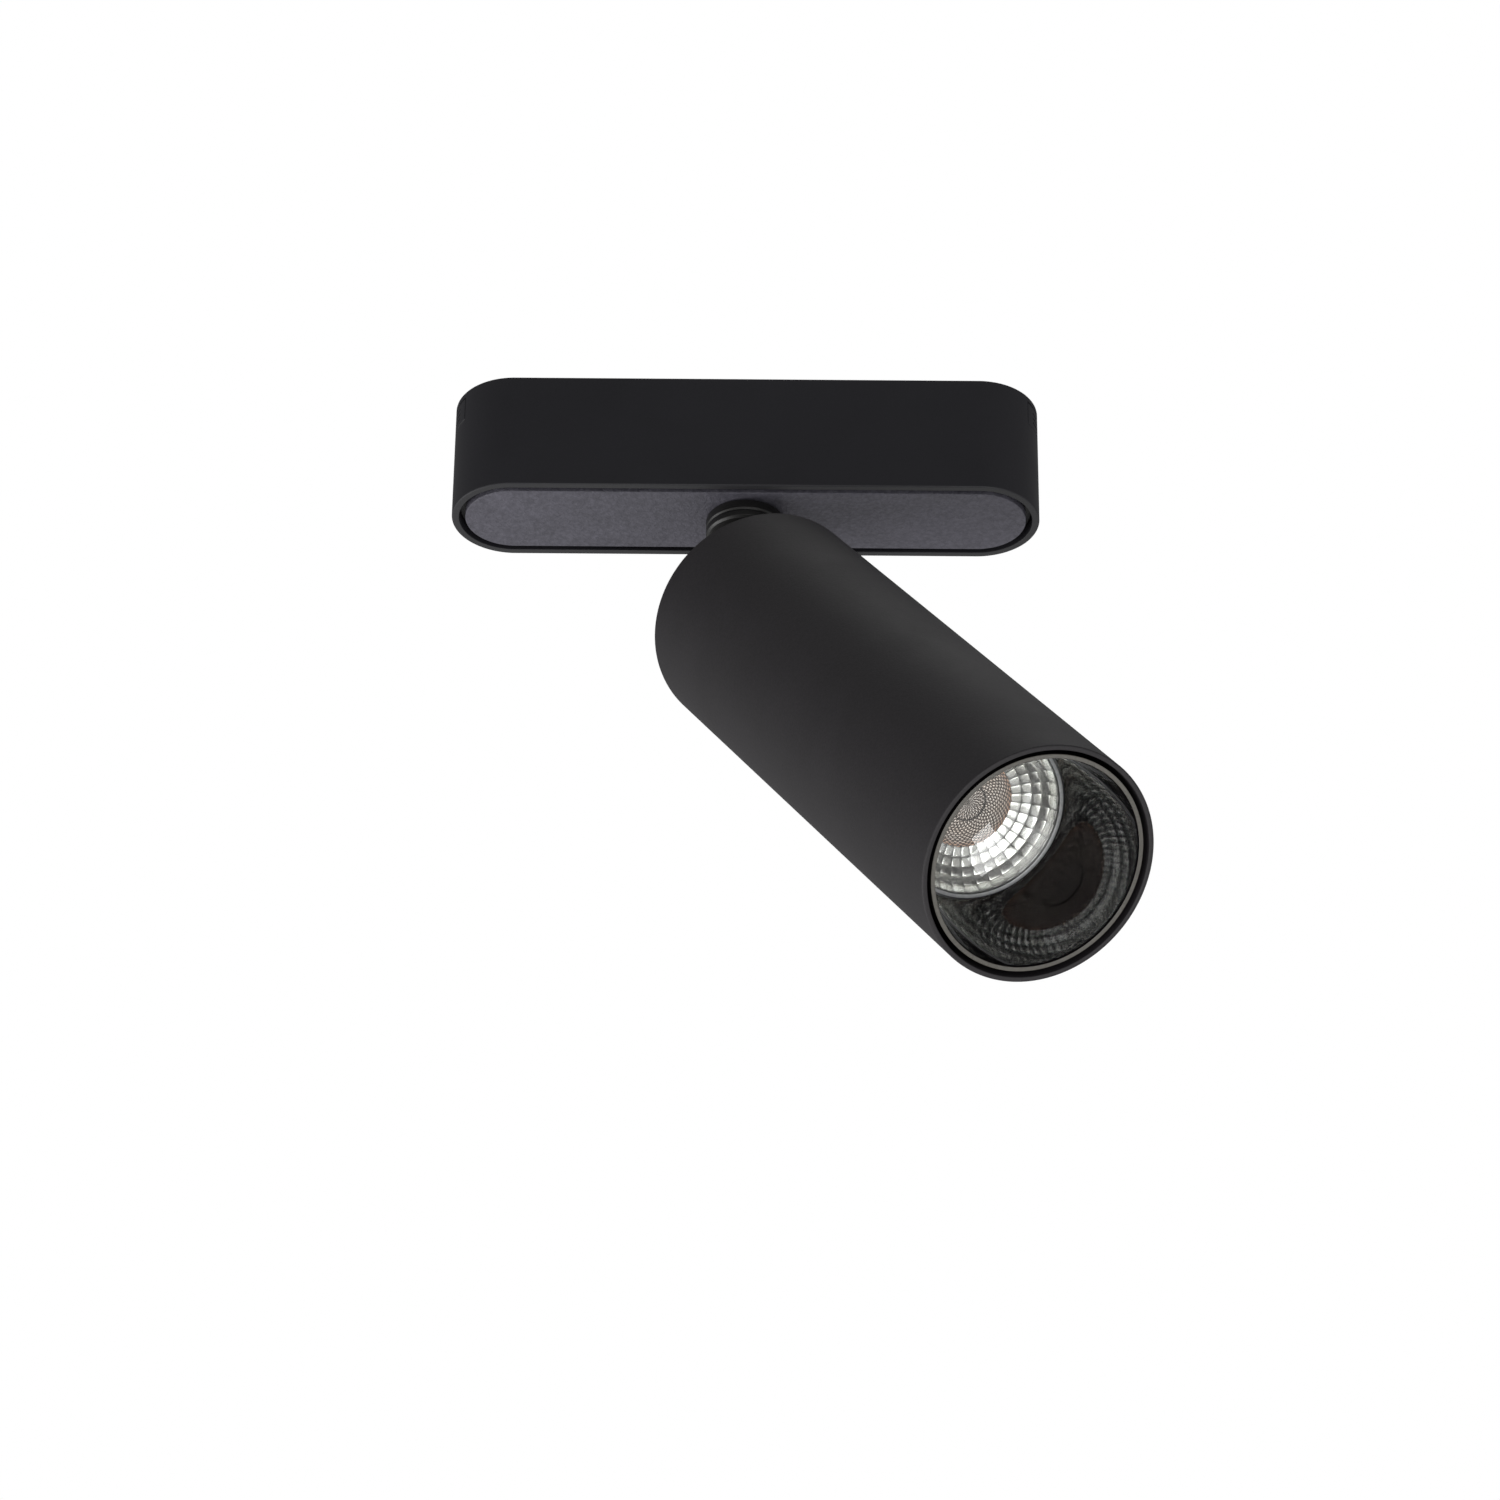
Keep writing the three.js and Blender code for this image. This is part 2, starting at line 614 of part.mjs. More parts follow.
function ledHolder() {
  let holder = drum(21, HOLDER_SPAN, 40);
  holder = cut(
    holder,
    drum(12, [HOLDER_SPAN[1] - 2.1, HOLDER_SPAN[1] + 1], 32),
    drum(8.8, widened(HOLDER_SPAN, 1), 32),
  );
  for (const y of [-HOLDER_SCREW_Y, HOLDER_SCREW_Y])
    holder = cut(holder, drum(1.5, widened(HOLDER_SPAN, 1), SMALL, 0, y));
  return holder;
}

const FLANGE_RADIUS = 22;
const FLANGE_BACK = OPTIC_FRONT + 1.55;
const OPTIC_BACK = HOLDER_SPAN[0] - 0.4;

function optic() {
  const bowl = [];
  for (let step = 0; step <= 4; step++) {
    const t = step / 4;
    const radius = 8 + (20.2 - 8) * Math.sqrt(t);
    bowl.push([radius, OPTIC_BACK + (FLANGE_BACK - OPTIC_BACK) * t]);
  }
  return turned(
    [
      [0, -131.6],
      [5.2, -131],
      [5.2, OPTIC_BACK],
      ...bowl,
      [FLANGE_RADIUS, FLANGE_BACK],
      [FLANGE_RADIUS, OPTIC_FRONT],
      [0, OPTIC_FRONT],
    ],
    36,
  );
}

const SEAT_FRONT = OPTIC_FRONT - 1.35;

function opticSeat() {
  return turned(
    [
      [FLANGE_RADIUS + 0.4, SEAT_FRONT],
      [INSERT_RADIUS, SEAT_FRONT],
      [INSERT_RADIUS, SEAT_FRONT + 5.2],
      [INSERT_RADIUS - 2.3, SEAT_FRONT + 7.2],
      [INSERT_RADIUS - 2.3, HOLDER_SPAN[1]],
      [21.6, HOLDER_SPAN[1]],
      [21.6, SEAT_FRONT + 5],
      [20.9, FLANGE_BACK + GAP],
      [FLANGE_RADIUS + 0.4, FLANGE_BACK + GAP],
    ],
    36,
  );
}

const LIP_FRONT = TUBE_FRONT + LIP_RECESS;

function baffle() {
  const back = OPTIC_FRONT - GAP;
  return turned(
    [
      [THROAT_RADIUS, back],
      [MOUTH_RADIUS - 0.3, LIP_FRONT + 0.8],
      [MOUTH_RADIUS, LIP_FRONT],
      [LIP_RADIUS, LIP_FRONT],
      [LIP_RADIUS, LIP_FRONT + 2.5],
      [22.1, back - 4.9],
      [INSERT_RADIUS, back - 4.9],
      [INSERT_RADIUS, SEAT_FRONT - GAP],
      [FLANGE_RADIUS + 0.1, SEAT_FRONT - GAP],
      [FLANGE_RADIUS + 0.1, back],
    ],
    ROUND,
  );
}

const head = new THREE.Group();
head.rotation.y = THREE.MathUtils.degToRad(-TILT_REST);
head.add(
  piece("head_tube", headTube(), powderBlack()),
  piece("rear_cap", rearCap(), powderBlack()),
  piece("heat_sink", heatSink(), bareAluminium()),
  piece("thermal_pad", drum(10, [-122.4, -121.9], 24), finish(0x8d9aa8, 0.8, 0)),
  piece("led_board", block([-8, 8], [-8, 8], [-123.7, -122.7]), boardWhite()),
  piece("led_emitter", drum(4.6, [-124.6, -124], 24), finish(0xe8c23c, 0.5, 0)),
  piece("led_holder", ledHolder(), nylonWhite()),
  piece("optic", optic(), clearPlastic()),
  piece("optic_seat", opticSeat(), mouldedBlack()),
  piece("baffle", baffle(), glossBlack()),
);

const headCableRoute = [
  [0, 0, -3.2],
  [0, 0, -20],
  [0, 0, -40],
  [3, 0, -54],
  [14, 0, -66],
  [HEAD_CABLE_X, 0, -80],
  [HEAD_CABLE_X, 0, -100],
  [HEAD_CABLE_X, 0, -121.2],
];
head.add(piece("head_cable", routed(headCableRoute, CABLE_RADIUS, 20), mouldedBlack()));

for (const [end, side] of [[-1, "left"], [1, "right"]]) {
  const tie = screw(2.9, 1.45, CAP_FACE - 0.2, CAP_FACE - 2, -80, 0, end * TIE_Y);
  head.add(piece(`tie_screw_${side}`, tie, blackSteel()));
  const y = end * HOLDER_SCREW_Y;
  const holderScrew = cut(
    joined(
      drum(2.3, [HOLDER_SPAN[0] - 1.8, HOLDER_SPAN[0] - GAP], SMALL, 0, y),
      drum(1.2, [HOLDER_SPAN[0] - 0.6, SINK_BASE[0] + 3], SMALL, 0, y),
    ),
    drum(1, [HOLDER_SPAN[0] - 3, HOLDER_SPAN[0] - 1.2], 6, 0, y),
  );
  head.add(piece(`holder_screw_${side}`, holderScrew, steel()));
}
neck.add(head);

const spotlight = new THREE.Group();
spotlight.name = "track_spotlight";
spotlight.add(driverBox, neck);

export default spotlight;
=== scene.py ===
"""Track spotlight: visible pieces, finishes and stage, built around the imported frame.

Sizes in the outlines are millimetres. Driver box pieces are modelled in the row frame; neck and
lamp head pieces are modelled upright about the tilt pivot and then set in place.
"""

import json
import math

import bmesh
import bpy
from bpy.props import FloatProperty, FloatVectorProperty, IntProperty, PointerProperty
from mathutils import Matrix, Vector


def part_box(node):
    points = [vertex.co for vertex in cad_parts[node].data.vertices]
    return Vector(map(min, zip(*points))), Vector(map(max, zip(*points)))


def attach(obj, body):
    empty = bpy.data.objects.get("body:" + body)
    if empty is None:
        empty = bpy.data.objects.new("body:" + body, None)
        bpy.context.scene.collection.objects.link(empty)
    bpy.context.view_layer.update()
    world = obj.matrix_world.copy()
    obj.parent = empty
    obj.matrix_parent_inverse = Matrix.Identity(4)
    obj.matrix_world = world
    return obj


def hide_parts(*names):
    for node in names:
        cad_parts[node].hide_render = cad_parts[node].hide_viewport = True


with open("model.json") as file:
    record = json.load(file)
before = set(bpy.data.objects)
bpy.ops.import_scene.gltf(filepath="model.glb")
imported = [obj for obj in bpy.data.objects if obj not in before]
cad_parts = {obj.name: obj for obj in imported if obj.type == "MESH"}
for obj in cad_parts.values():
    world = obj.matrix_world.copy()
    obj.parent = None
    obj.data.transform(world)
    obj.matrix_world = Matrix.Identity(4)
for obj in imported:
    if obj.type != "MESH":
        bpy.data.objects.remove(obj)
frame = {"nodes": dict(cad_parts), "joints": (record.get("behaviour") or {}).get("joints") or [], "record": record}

bl_info = {
    "name": "Track Spotlight",
    "version": (1, 0, 0),
    "blender": (4, 5, 0),
    "location": "3D View > Sidebar > Spotlight",
    "description": "Builds a track spotlight's visible pieces, its finishes and its stage",
    "category": "Object",
}

DONE = {"FINISHED"}
MM = 0.001
WELD = 2e-6
FULL_TURN = 2 * math.pi
FILLET_STEPS = 4
SMOOTH_ANGLE = math.radians(35)
SHARP_ANGLE = math.radians(50)
# Clearance between neighbouring parts, in millimetres.
GAP = 0.3
# A face whose normal is this close to the vertical is level, and is kept flat.
LEVEL = 0.9999

# ---- Places read from the frame ----

NODES = frame["nodes"]
JOINTS = {joint["name"]: joint for joint in frame["joints"]}
PIVOT = Vector(JOINTS["tilt"]["pos_m"])
TILT_AXIS = Vector(JOINTS["tilt"]["axis"]).normalized()


def node_centre(node):
    low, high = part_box(node)
    return (low + high) / 2


def upright(across, up):
    """The matrix that sets a piece modelled about the origin on the pivot."""
    along = across.cross(up)
    turn = Matrix((along, across, up)).transposed().to_4x4()
    return Matrix.Translation(PIVOT) @ turn


LAMP_AXIS = (node_centre("led_emitter") - PIVOT).normalized()
NECK_PLACE = upright(-TILT_AXIS, Vector((0, 0, 1)))
HEAD_PLACE = upright(-TILT_AXIS, -LAMP_AXIS)


# ---- Modelling helpers ----


def deselect():
    if bpy.context.mode != "OBJECT":
        bpy.ops.object.mode_set(mode="OBJECT")
    bpy.ops.object.select_all(action="DESELECT")


def select(*pieces):
    deselect()
    for piece in pieces:
        piece.select_set(True)
    bpy.context.view_layer.objects.active = pieces[-1]


def named(name):
    piece = bpy.context.object
    piece.name = name
    piece.data.name = name
    return piece


def edit_mode():
    bpy.context.tool_settings.mesh_select_mode = (True, False, False)
    bpy.ops.object.mode_set(mode="EDIT")


def pick_corners(piece, wanted):
    """Selects, in edit mode, the corners whose place is wanted."""
    shape = bmesh.from_edit_mesh(piece.data)
    for corner in shape.verts:
        corner.select_set(wanted(corner.co))
    shape.select_flush_mode()
    bmesh.update_edit_mesh(piece.data)


def pick_faces(piece, wanted):
    """Selects, in edit mode, the faces that are wanted."""
    bpy.context.tool_settings.mesh_select_mode = (False, False, True)
    shape = bmesh.from_edit_mesh(piece.data)
    for face in shape.faces:
        face.select_set(wanted(face))
    bmesh.update_edit_mesh(piece.data)


def rounded(corners, ring=True):
    """An outline with an arc at each corner that states a third number, its radius."""
    line = []
    count = len(corners)
    for place, corner in enumerate(corners):
        here = Vector(corner[:2])
        if len(corner) < 3 or not (ring or 0 < place < count - 1):
            line.append(here)
            continue
        before = (Vector(corners[place - 1][:2]) - here).normalized()
        after = (Vector(corners[(place + 1) % count][:2]) - here).normalized()
        half = before.angle(after) / 2
        radius = corner[2]
        centre = here + (before + after).normalized() * radius / math.sin(half)
        first = here + before * radius / math.tan(half) - centre
        last = here + after * radius / math.tan(half) - centre
        sweep = math.pi - 2 * half
        for step in range(FILLET_STEPS + 1):
            share = step / FILLET_STEPS
            arm = first * math.sin((1 - share) * sweep) + last * math.sin(share * sweep)
            line.append(centre + arm / math.sin(sweep))
    return line


def turned(name, outline, steps, ring=True):
    """A body turned about Z from an outline of (radius, height) corners."""
    line = [Vector((radius, 0, height)) * MM for radius, height in outline]
    if ring:
        line.append(line[0])
    deselect()
    bpy.ops.mesh.primitive_plane_add(size=MM, location=(0, 0, 0))
    piece = named(name)
    edit_mode()
    bpy.ops.mesh.select_all(action="SELECT")
    bpy.ops.mesh.merge(type="CENTER")
    bpy.ops.transform.translate(value=line[0])
    for here, there in zip(line, line[1:]):
        bpy.ops.mesh.extrude_region_move(TRANSFORM_OT_translate={"value": there - here})
    bpy.ops.mesh.select_all(action="SELECT")
    bpy.ops.mesh.remove_doubles(threshold=WELD)
    bpy.ops.mesh.spin(steps=steps, angle=FULL_TURN, center=(0, 0, 0), axis=(0, 0, 1))
    close_up()
    return piece


def close_up():
    """Welds doubled corners in edit mode and turns every face outwards."""
    bpy.ops.mesh.select_all(action="SELECT")
    bpy.ops.mesh.remove_doubles(threshold=WELD)
    bpy.ops.mesh.normals_make_consistent(inside=False)
    bpy.ops.object.mode_set(mode="OBJECT")


def laid(piece, turn):
    """Turns a finished shape about the origin and keeps the turn in its mesh."""
    select(piece)
    piece.rotation_euler = turn
    bpy.ops.object.transform_apply(location=True, rotation=True, scale=True)
    return piece


def long_bar(name, corners, reach, steps, ring=True):
    """A turned body whose halves are moved apart along X: a bar with round ends."""
    piece = turned(name, rounded(corners, ring), steps, ring)
    laid(piece, (0, 0, FULL_TURN / steps / 2))
    edit_mode()
    for side in (-1, 1):
        pick_corners(piece, lambda place: place.x * side > WELD)
        bpy.ops.transform.translate(value=(side * reach * MM, 0, 0))
    bpy.ops.object.mode_set(mode="OBJECT")
    return piece


def block(name, low, high, edge=0.0, edge_steps=2):
    """A box between two corners, with its edges broken by a bevel."""
    low, high = Vector(low), Vector(high)
    deselect()
    bpy.ops.mesh.primitive_cube_add(size=1, location=(low + high) / 2 * MM, scale=(high - low) * MM)
    piece = named(name)
    bpy.ops.object.transform_apply(location=True, rotation=True, scale=True)
    if edge:
        edit_mode()
        bpy.ops.mesh.select_all(action="SELECT")
        bpy.ops.mesh.bevel(offset=edge * MM, segments=edge_steps, affect="EDGES")
        bpy.ops.object.mode_set(mode="OBJECT")
    return piece


def drum(name, radius, low, high, at=(0, 0), sides=48):
    """A plain round bar along Z, for joining and cutting."""
    outline = [(0, low), (radius, low), (radius, high), (0, high)]
    piece = turned(name, outline, sides, ring=False)
    return laid_at(piece, (at[0], at[1], 0))


def laid_at(piece, place):
    select(piece)
    piece.location = Vector(place) * MM
    bpy.ops.object.transform_apply(location=True, rotation=True, scale=True)
    return piece


def cross_drum(name, radius, low, high, sides=48):
    """A plain round bar along Y, for joining and cutting."""
    return laid(drum(name, radius, low, high, sides=sides), (-math.pi / 2, 0, 0))


def combine(piece, operation, *tools):
    for tool in tools:
        select(piece)
        bpy.ops.object.modifier_add(type="BOOLEAN")
        step = piece.modifiers[-1]
        step.operation = operation
        step.solver = "EXACT"
        step.object = tool
        bpy.ops.object.modifier_apply(modifier=step.name)
        bpy.data.objects.remove(tool)
    return piece


def cut(piece, *tools):
    return combine(piece, "DIFFERENCE", *tools)


def joined(piece, *tools):
    return combine(piece, "UNION", *tools)


def copied(piece, name, turn=(0, 0, 0), shift=(0, 0, 0)):
    """A copy with its own mesh, turned about the origin and then moved."""
    select(piece)
    bpy.ops.object.duplicate(linked=False)
    made = named(name)
    made.rotation_euler = turn
    made.location = Vector(shift) * MM
    bpy.ops.object.transform_apply(location=True, rotation=True, scale=True)
    return made


def smoothed(piece):
    """Smooth shading inside each surface, with level faces kept flat."""
    select(piece)
    bpy.ops.object.shade_smooth_by_angle(angle=SMOOTH_ANGLE)
    for face in piece.data.polygons:
        if abs(face.normal.z) > LEVEL:
            face.use_smooth = False
    bpy.ops.object.modifier_add(type="WEIGHTED_NORMAL")
    step = piece.modifiers[-1]
    step.keep_sharp = True
    bpy.ops.object.modifier_apply(modifier=step.name)
    return piece


def broken_edges(piece, width):
    """Bevels the piece's sharp edges."""
    select(piece)
    bpy.ops.object.modifier_add(type="BEVEL")
    step = piece.modifiers[-1]
    step.width = width * MM
    step.segments = 2
    step.limit_method = "ANGLE"
    step.angle_limit = SHARP_ANGLE
    bpy.ops.object.modifier_apply(modifier=step.name)
    return piece


def fitted(piece, body, slot, node, place=None):
    """Sets a piece in place, with its slot's finish if it has none yet, and ties it to the frame."""
    if place is not None:
        piece.matrix_world = place
    select(piece)
    bpy.ops.object.transform_apply(location=True, rotation=True, scale=True)
    if not piece.data.materials:
        piece.data.materials.append(surface(slot))
    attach(piece, body)
    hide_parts(node)
    return piece


# ---- Material helpers ----


def add_node(tree, kind, inputs=None, **settings):
    made = tree.nodes.new(kind)
    for name, value in settings.items():
        setattr(made, name, value)
    for socket, value in (inputs or {}).items():
        if isinstance(value, bpy.types.NodeSocket):
            tree.links.new(value, made.inputs[socket])
        else:
            made.inputs[socket].default_value = value
    return made


def maths(tree, operation, *values):
    inputs = dict(enumerate(values))
    return add_node(tree, "ShaderNodeMath", inputs, operation=operation).outputs[0]


def spread(tree, value, low, high, to_low, to_high):
    """Maps a value's range onto another and clamps it there."""
    inputs = {"Value": value, 1: low, 2: high, 3: to_low, 4: to_high}
    return add_node(tree, "ShaderNodeMapRange", inputs).outputs[0]


def blended(tree, share, first, second):
    made = add_node(tree, "ShaderNodeMix", {0: share}, data_type="RGBA")
    for socket, value in ((6, first), (7, second)):
        if isinstance(value, bpy.types.NodeSocket):
            tree.links.new(value, made.inputs[socket])
        else:
            made.inputs[socket].default_value = (*value[:3], 1)
    return made.outputs[2]


def new_group(name, inputs, outputs):
    tree = bpy.data.node_groups.new(name, "ShaderNodeTree")
    for label, kind, default in inputs:
        socket = tree.interface.new_socket(label, in_out="INPUT", socket_type=kind)
        if default is not None:
            socket.default_value = default
    for label in outputs:
        tree.interface.new_socket(label, in_out="OUTPUT", socket_type="NodeSocketFloat")
    return tree, tree.nodes.new("NodeGroupInput"), tree.nodes.new("NodeGroupOutput")


VECTOR_IN = ("Vector", "NodeSocketVector", None)
GRAIN = "Fine Grain"
HANDLING = "Handling"
WRINKLE = "Powder Wrinkle"
LINES = "Drawn Lines"
FINE_SHARE = 0.65
WRINKLE_LUMPS = 1.3
WRINKLE_CELLS = 0.6


def noise(tree, vector, size, detail=2.0, roughness=0.5, distortion=0.0):
    """Noise whose lumps are about size metres across."""
    inputs = {
        "Vector": vector,
        "Scale": maths(tree, "DIVIDE", 1.0, size),
        "Detail": detail,
        "Roughness": roughness,
        "Distortion": distortion,
    }
    return add_node(tree, "ShaderNodeTexNoise", inputs).outputs["Fac"]


def grain_group():
    """Fine grain of a coated or cast surface: its relief and its speckle."""
    tree, source, sink = new_group(
        GRAIN, [VECTOR_IN, ("Size", "NodeSocketFloat", 0.0004)], ["Height", "Speckle"]
    )
    vector, size = source.outputs["Vector"], source.outputs["Size"]
    fine = noise(tree, vector, size, 3.0, 0.6)
    coarse = noise(tree, vector, maths(tree, "MULTIPLY", size, 3.1), 1.0)
    small = maths(tree, "MULTIPLY", fine, FINE_SHARE)
    large = maths(tree, "MULTIPLY", coarse, 1 - FINE_SHARE)
    height = maths(tree, "ADD", small, large)
    tree.links.new(height, sink.inputs["Height"])
    tree.links.new(spread(tree, fine, 0.35, 0.65, 0.0, 1.0), sink.inputs["Speckle"])
    return tree


def handling_group():
    """Broad, soft patches where a surface has been handled and wiped."""
    tree, source, sink = new_group(
        HANDLING, [VECTOR_IN, ("Size", "NodeSocketFloat", 0.03)], ["Smudge"]
    )
    patch = noise(tree, source.outputs["Vector"], source.outputs["Size"], 3.0, 0.55, 0.6)
    tree.links.new(spread(tree, patch, 0.32, 0.68, 0.0, 1.0), sink.inputs["Smudge"])
    return tree


def pebble_group():
    """The wrinkled skin of a textured powder coat."""
    tree, source, sink = new_group(
        WRINKLE, [VECTOR_IN, ("Size", "NodeSocketFloat", 0.0007)], ["Height", "Speckle"]
    )
    vector, size = source.outputs["Vector"], source.outputs["Size"]
    scale = maths(tree, "DIVIDE", 1.0, size)
    wobble = noise(tree, vector, size, 2.0, 0.6, 1.2)
    cells = add_node(
        tree,
        "ShaderNodeTexVoronoi",
        {"Vector": vector, "Scale": scale, "Smoothness": 0.6},
        feature="SMOOTH_F1",
    ).outputs["Distance"]
    raised = maths(tree, "MULTIPLY", wobble, WRINKLE_LUMPS)
    sunk = maths(tree, "MULTIPLY", cells, WRINKLE_CELLS)
    height = maths(tree, "SUBTRACT", raised, sunk)
    tree.links.new(height, sink.inputs["Height"])
    tree.links.new(spread(tree, height, 0.1, 0.75, 0.0, 1.0), sink.inputs["Speckle"])
    return tree


def drawn_group():
    """Fine parallel lines left by drawing, turning or brushing a metal."""
    tree, source, sink = new_group(
        LINES, [VECTOR_IN, ("Size", "NodeSocketFloat", 0.0002)], ["Height", "Speckle"]
    )
    lengthwise = add_node(
        tree, "ShaderNodeMapping", {"Vector": source.outputs["Vector"], "Scale": (0.04, 1.0, 1.0)}
    ).outputs[0]
    lines = noise(tree, lengthwise, source.outputs["Size"], 3.0, 0.6)
    tree.links.new(lines, sink.inputs["Height"])
    tree.links.new(spread(tree, lines, 0.3, 0.7, 0.0, 1.0), sink.inputs["Speckle"])
    return tree


GROUPS = {
    GRAIN: grain_group,
    HANDLING: handling_group,
    WRINKLE: pebble_group,
    LINES: drawn_group,
}


def placed_group(tree, name, vector, size):
    """A shared effect placed in a material with its own size."""
    group = bpy.data.node_groups.get(name) or GROUPS[name]()
    made = add_node(tree, "ShaderNodeGroup", node_tree=group)
    tree.links.new(vector, made.inputs["Vector"])
    made.inputs["Size"].default_value = size
    return made


# The frame brings its own materials under the slots' plain names.
FINISH_ENDING = "_finish"


def started(name):
    """A new material with an emptied tree, its object coordinates and its output."""
    material = bpy.data.materials.new(name + FINISH_ENDING)
    material.use_nodes = True
    tree = material.node_tree
    tree.nodes.clear()
    place = add_node(tree, "ShaderNodeTexCoord").outputs["Object"]
    shown = add_node(tree, "ShaderNodeOutputMaterial")
    return material, tree, place, shown


def head_local(tree, place):
    """Object coordinates turned to the upright lamp head, so that a pattern is centred on it."""
    inputs = {"Vector": place, "Location": PIVOT, "Rotation": HEAD_PLACE.to_euler()}
    return add_node(tree, "ShaderNodeMapping", inputs, vector_type="TEXTURE").outputs[0]


# Each finish: darker colour, lighter colour, metallic, lowest and highest roughness, pattern, its size
# and its relief in metres, and clear coat.
FINISHES = {
    "satin_black": (
        (0.0055, 0.0052, 0.0082), (0.01, 0.0096, 0.0138),
        0, 0.52, 0.64, GRAIN, 0.00022, 4e-6, 0,
    ),
    # The neck's satin black, grainier and glossier, with its colour painted darker as painted shade for the shade
    # round the neck.
    "neck_painted_shade": ((0.003, 0.003, 0.003), (0.01, 0.0095, 0.009), 0, 0.34, 0.5, GRAIN, 0.0004, 2.4e-5, 0),
    "powder_black": (
        (0.0085, 0.007, 0.0088), (0.0185, 0.016, 0.019),
        0, 0.58, 0.64, GRAIN, 0.0005, 4.5e-5, 0,
    ),
    "plate_grey": ((0.046, 0.044, 0.057), (0.098, 0.094, 0.118), 0, 0.55, 0.7, WRINKLE, 0.0012, 1.8e-4, 0),
    # Downward face of the housing's wall: the same satin black painted lighter, a painted highlight for the light
    # from below.
    "rim_painted_light": ((0.012, 0.012, 0.014), (0.02, 0.02, 0.023), 0, 0.55, 0.66, LINES, 0.00025, 3e-6, 0),
    "moulded_black": ((0.01, 0.01, 0.011), (0.022, 0.022, 0.024), 0, 0.42, 0.6, GRAIN, 0.0004, 8e-6, 0),
    "cable_black": ((0.008, 0.008, 0.008), (0.018, 0.018, 0.018), 0, 0.45, 0.6, LINES, 0.0004, 5e-6, 0),
    "wire_red": ((0.3, 0.02, 0.015), (0.46, 0.045, 0.03), 0, 0.35, 0.5, GRAIN, 0.0005, 4e-6, 0),
    "magnet_nickel": ((0.5, 0.49, 0.47), (0.68, 0.67, 0.65), 1, 0.16, 0.32, LINES, 0.00018, 1.5e-6, 0),
    "steel": ((0.42, 0.43, 0.44), (0.62, 0.63, 0.64), 1, 0.24, 0.42, LINES, 0.00015, 2e-6, 0),
    "black_steel": ((0.018, 0.018, 0.019), (0.04, 0.04, 0.042), 0.6, 0.26, 0.42, GRAIN, 0.00025, 3e-6, 0.1),
    "brass": ((0.62, 0.42, 0.15), (0.85, 0.62, 0.27), 1, 0.14, 0.28, LINES, 0.00012, 1e-6, 0),
    "bare_aluminium": ((0.58, 0.59, 0.6), (0.76, 0.77, 0.78), 1, 0.3, 0.5, LINES, 0.0003, 4e-6, 0),
    "board_green": ((0.01, 0.085, 0.035), (0.03, 0.16, 0.07), 0, 0.3, 0.45, GRAIN, 0.0012, 1e-5, 0.3),
    "board_white": ((0.72, 0.72, 0.69), (0.85, 0.85, 0.82), 0, 0.35, 0.5, GRAIN, 0.0008, 4e-6, 0),
    "nylon_white": ((0.66, 0.65, 0.6), (0.8, 0.79, 0.75), 0, 0.4, 0.55, GRAIN, 0.0005, 6e-6, 0),
    "phosphor": ((0.72, 0.46, 0.06), (0.9, 0.66, 0.16), 0, 0.3, 0.5, GRAIN, 0.0002, 8e-6, 0.2),
    "pad_grey": ((0.3, 0.34, 0.39), (0.42, 0.46, 0.52), 0, 0.7, 0.85, GRAIN, 0.0006, 1.2e-5, 0),
    "gloss_black": ((0.0035, 0.003, 0.0035), (0.007, 0.006, 0.007), 0, 0.04, 0.07, GRAIN, 0.006, 4e-7, 0.2),
    # Front ring of the baffle's lip: a bare edge, its grey partly the edge's own tone and partly a painted
    # highlight for the light it catches.
    "bare_lip_painted_light": ((0.06, 0.056, 0.048), (0.115, 0.108, 0.094), 0, 0.22, 0.34, LINES, 0.00025, 3e-6, 0.2),
    "flange_frost": ((0.3, 0.31, 0.315), (0.46, 0.47, 0.475), 0, 0.12, 0.22, GRAIN, 0.0008, 4e-6, 0.4),
    "floor_pale": ((0.78, 0.78, 0.77), (0.84, 0.84, 0.83), 0, 0.6, 0.75, GRAIN, 0.004, 5e-5, 0),
}
SMUDGE_SIZE = 0.028
SMUDGE_SHARE = 0.35


def relief_normal(tree, height, distance):
    inputs = {"Height": height, "Strength": 1.0, "Distance": distance}
    return add_node(tree, "ShaderNodeBump", inputs).outputs[0]


def shaded(tree, shown, inputs):
    """Closes a material with its shader."""
    shader = add_node(tree, "ShaderNodeBsdfPrincipled", inputs)
    tree.links.new(shader.outputs[0], shown.inputs["Surface"])


def coated(name):
    """A finish from the table: two colours by grain and handling, uneven gloss and a fine relief."""
    dark, light, metallic, smooth, rough, pattern, size, relief, coat = FINISHES[name]
    material, tree, place, shown = started(name)
    grain = placed_group(tree, pattern, place, size)
    smudge = placed_group(tree, HANDLING, place, SMUDGE_SIZE).outputs["Smudge"]
    soft = maths(tree, "MULTIPLY", smudge, SMUDGE_SHARE)
    fine = maths(tree, "MULTIPLY", grain.outputs["Speckle"], 1 - SMUDGE_SHARE)
    share = maths(tree, "ADD", soft, fine)
    bump = relief_normal(tree, grain.outputs["Height"], relief)
    inputs = {
        "Base Color": blended(tree, share, dark, light),
        "Metallic": metallic,
        "Roughness": spread(tree, smudge, 0.0, 1.0, smooth, rough),
        "Normal": bump,
        "Coat Weight": coat,
        "Coat Roughness": smooth,
    }
    shaded(tree, shown, inputs)
    return material


SILVER_RELIEF = 2.5e-5


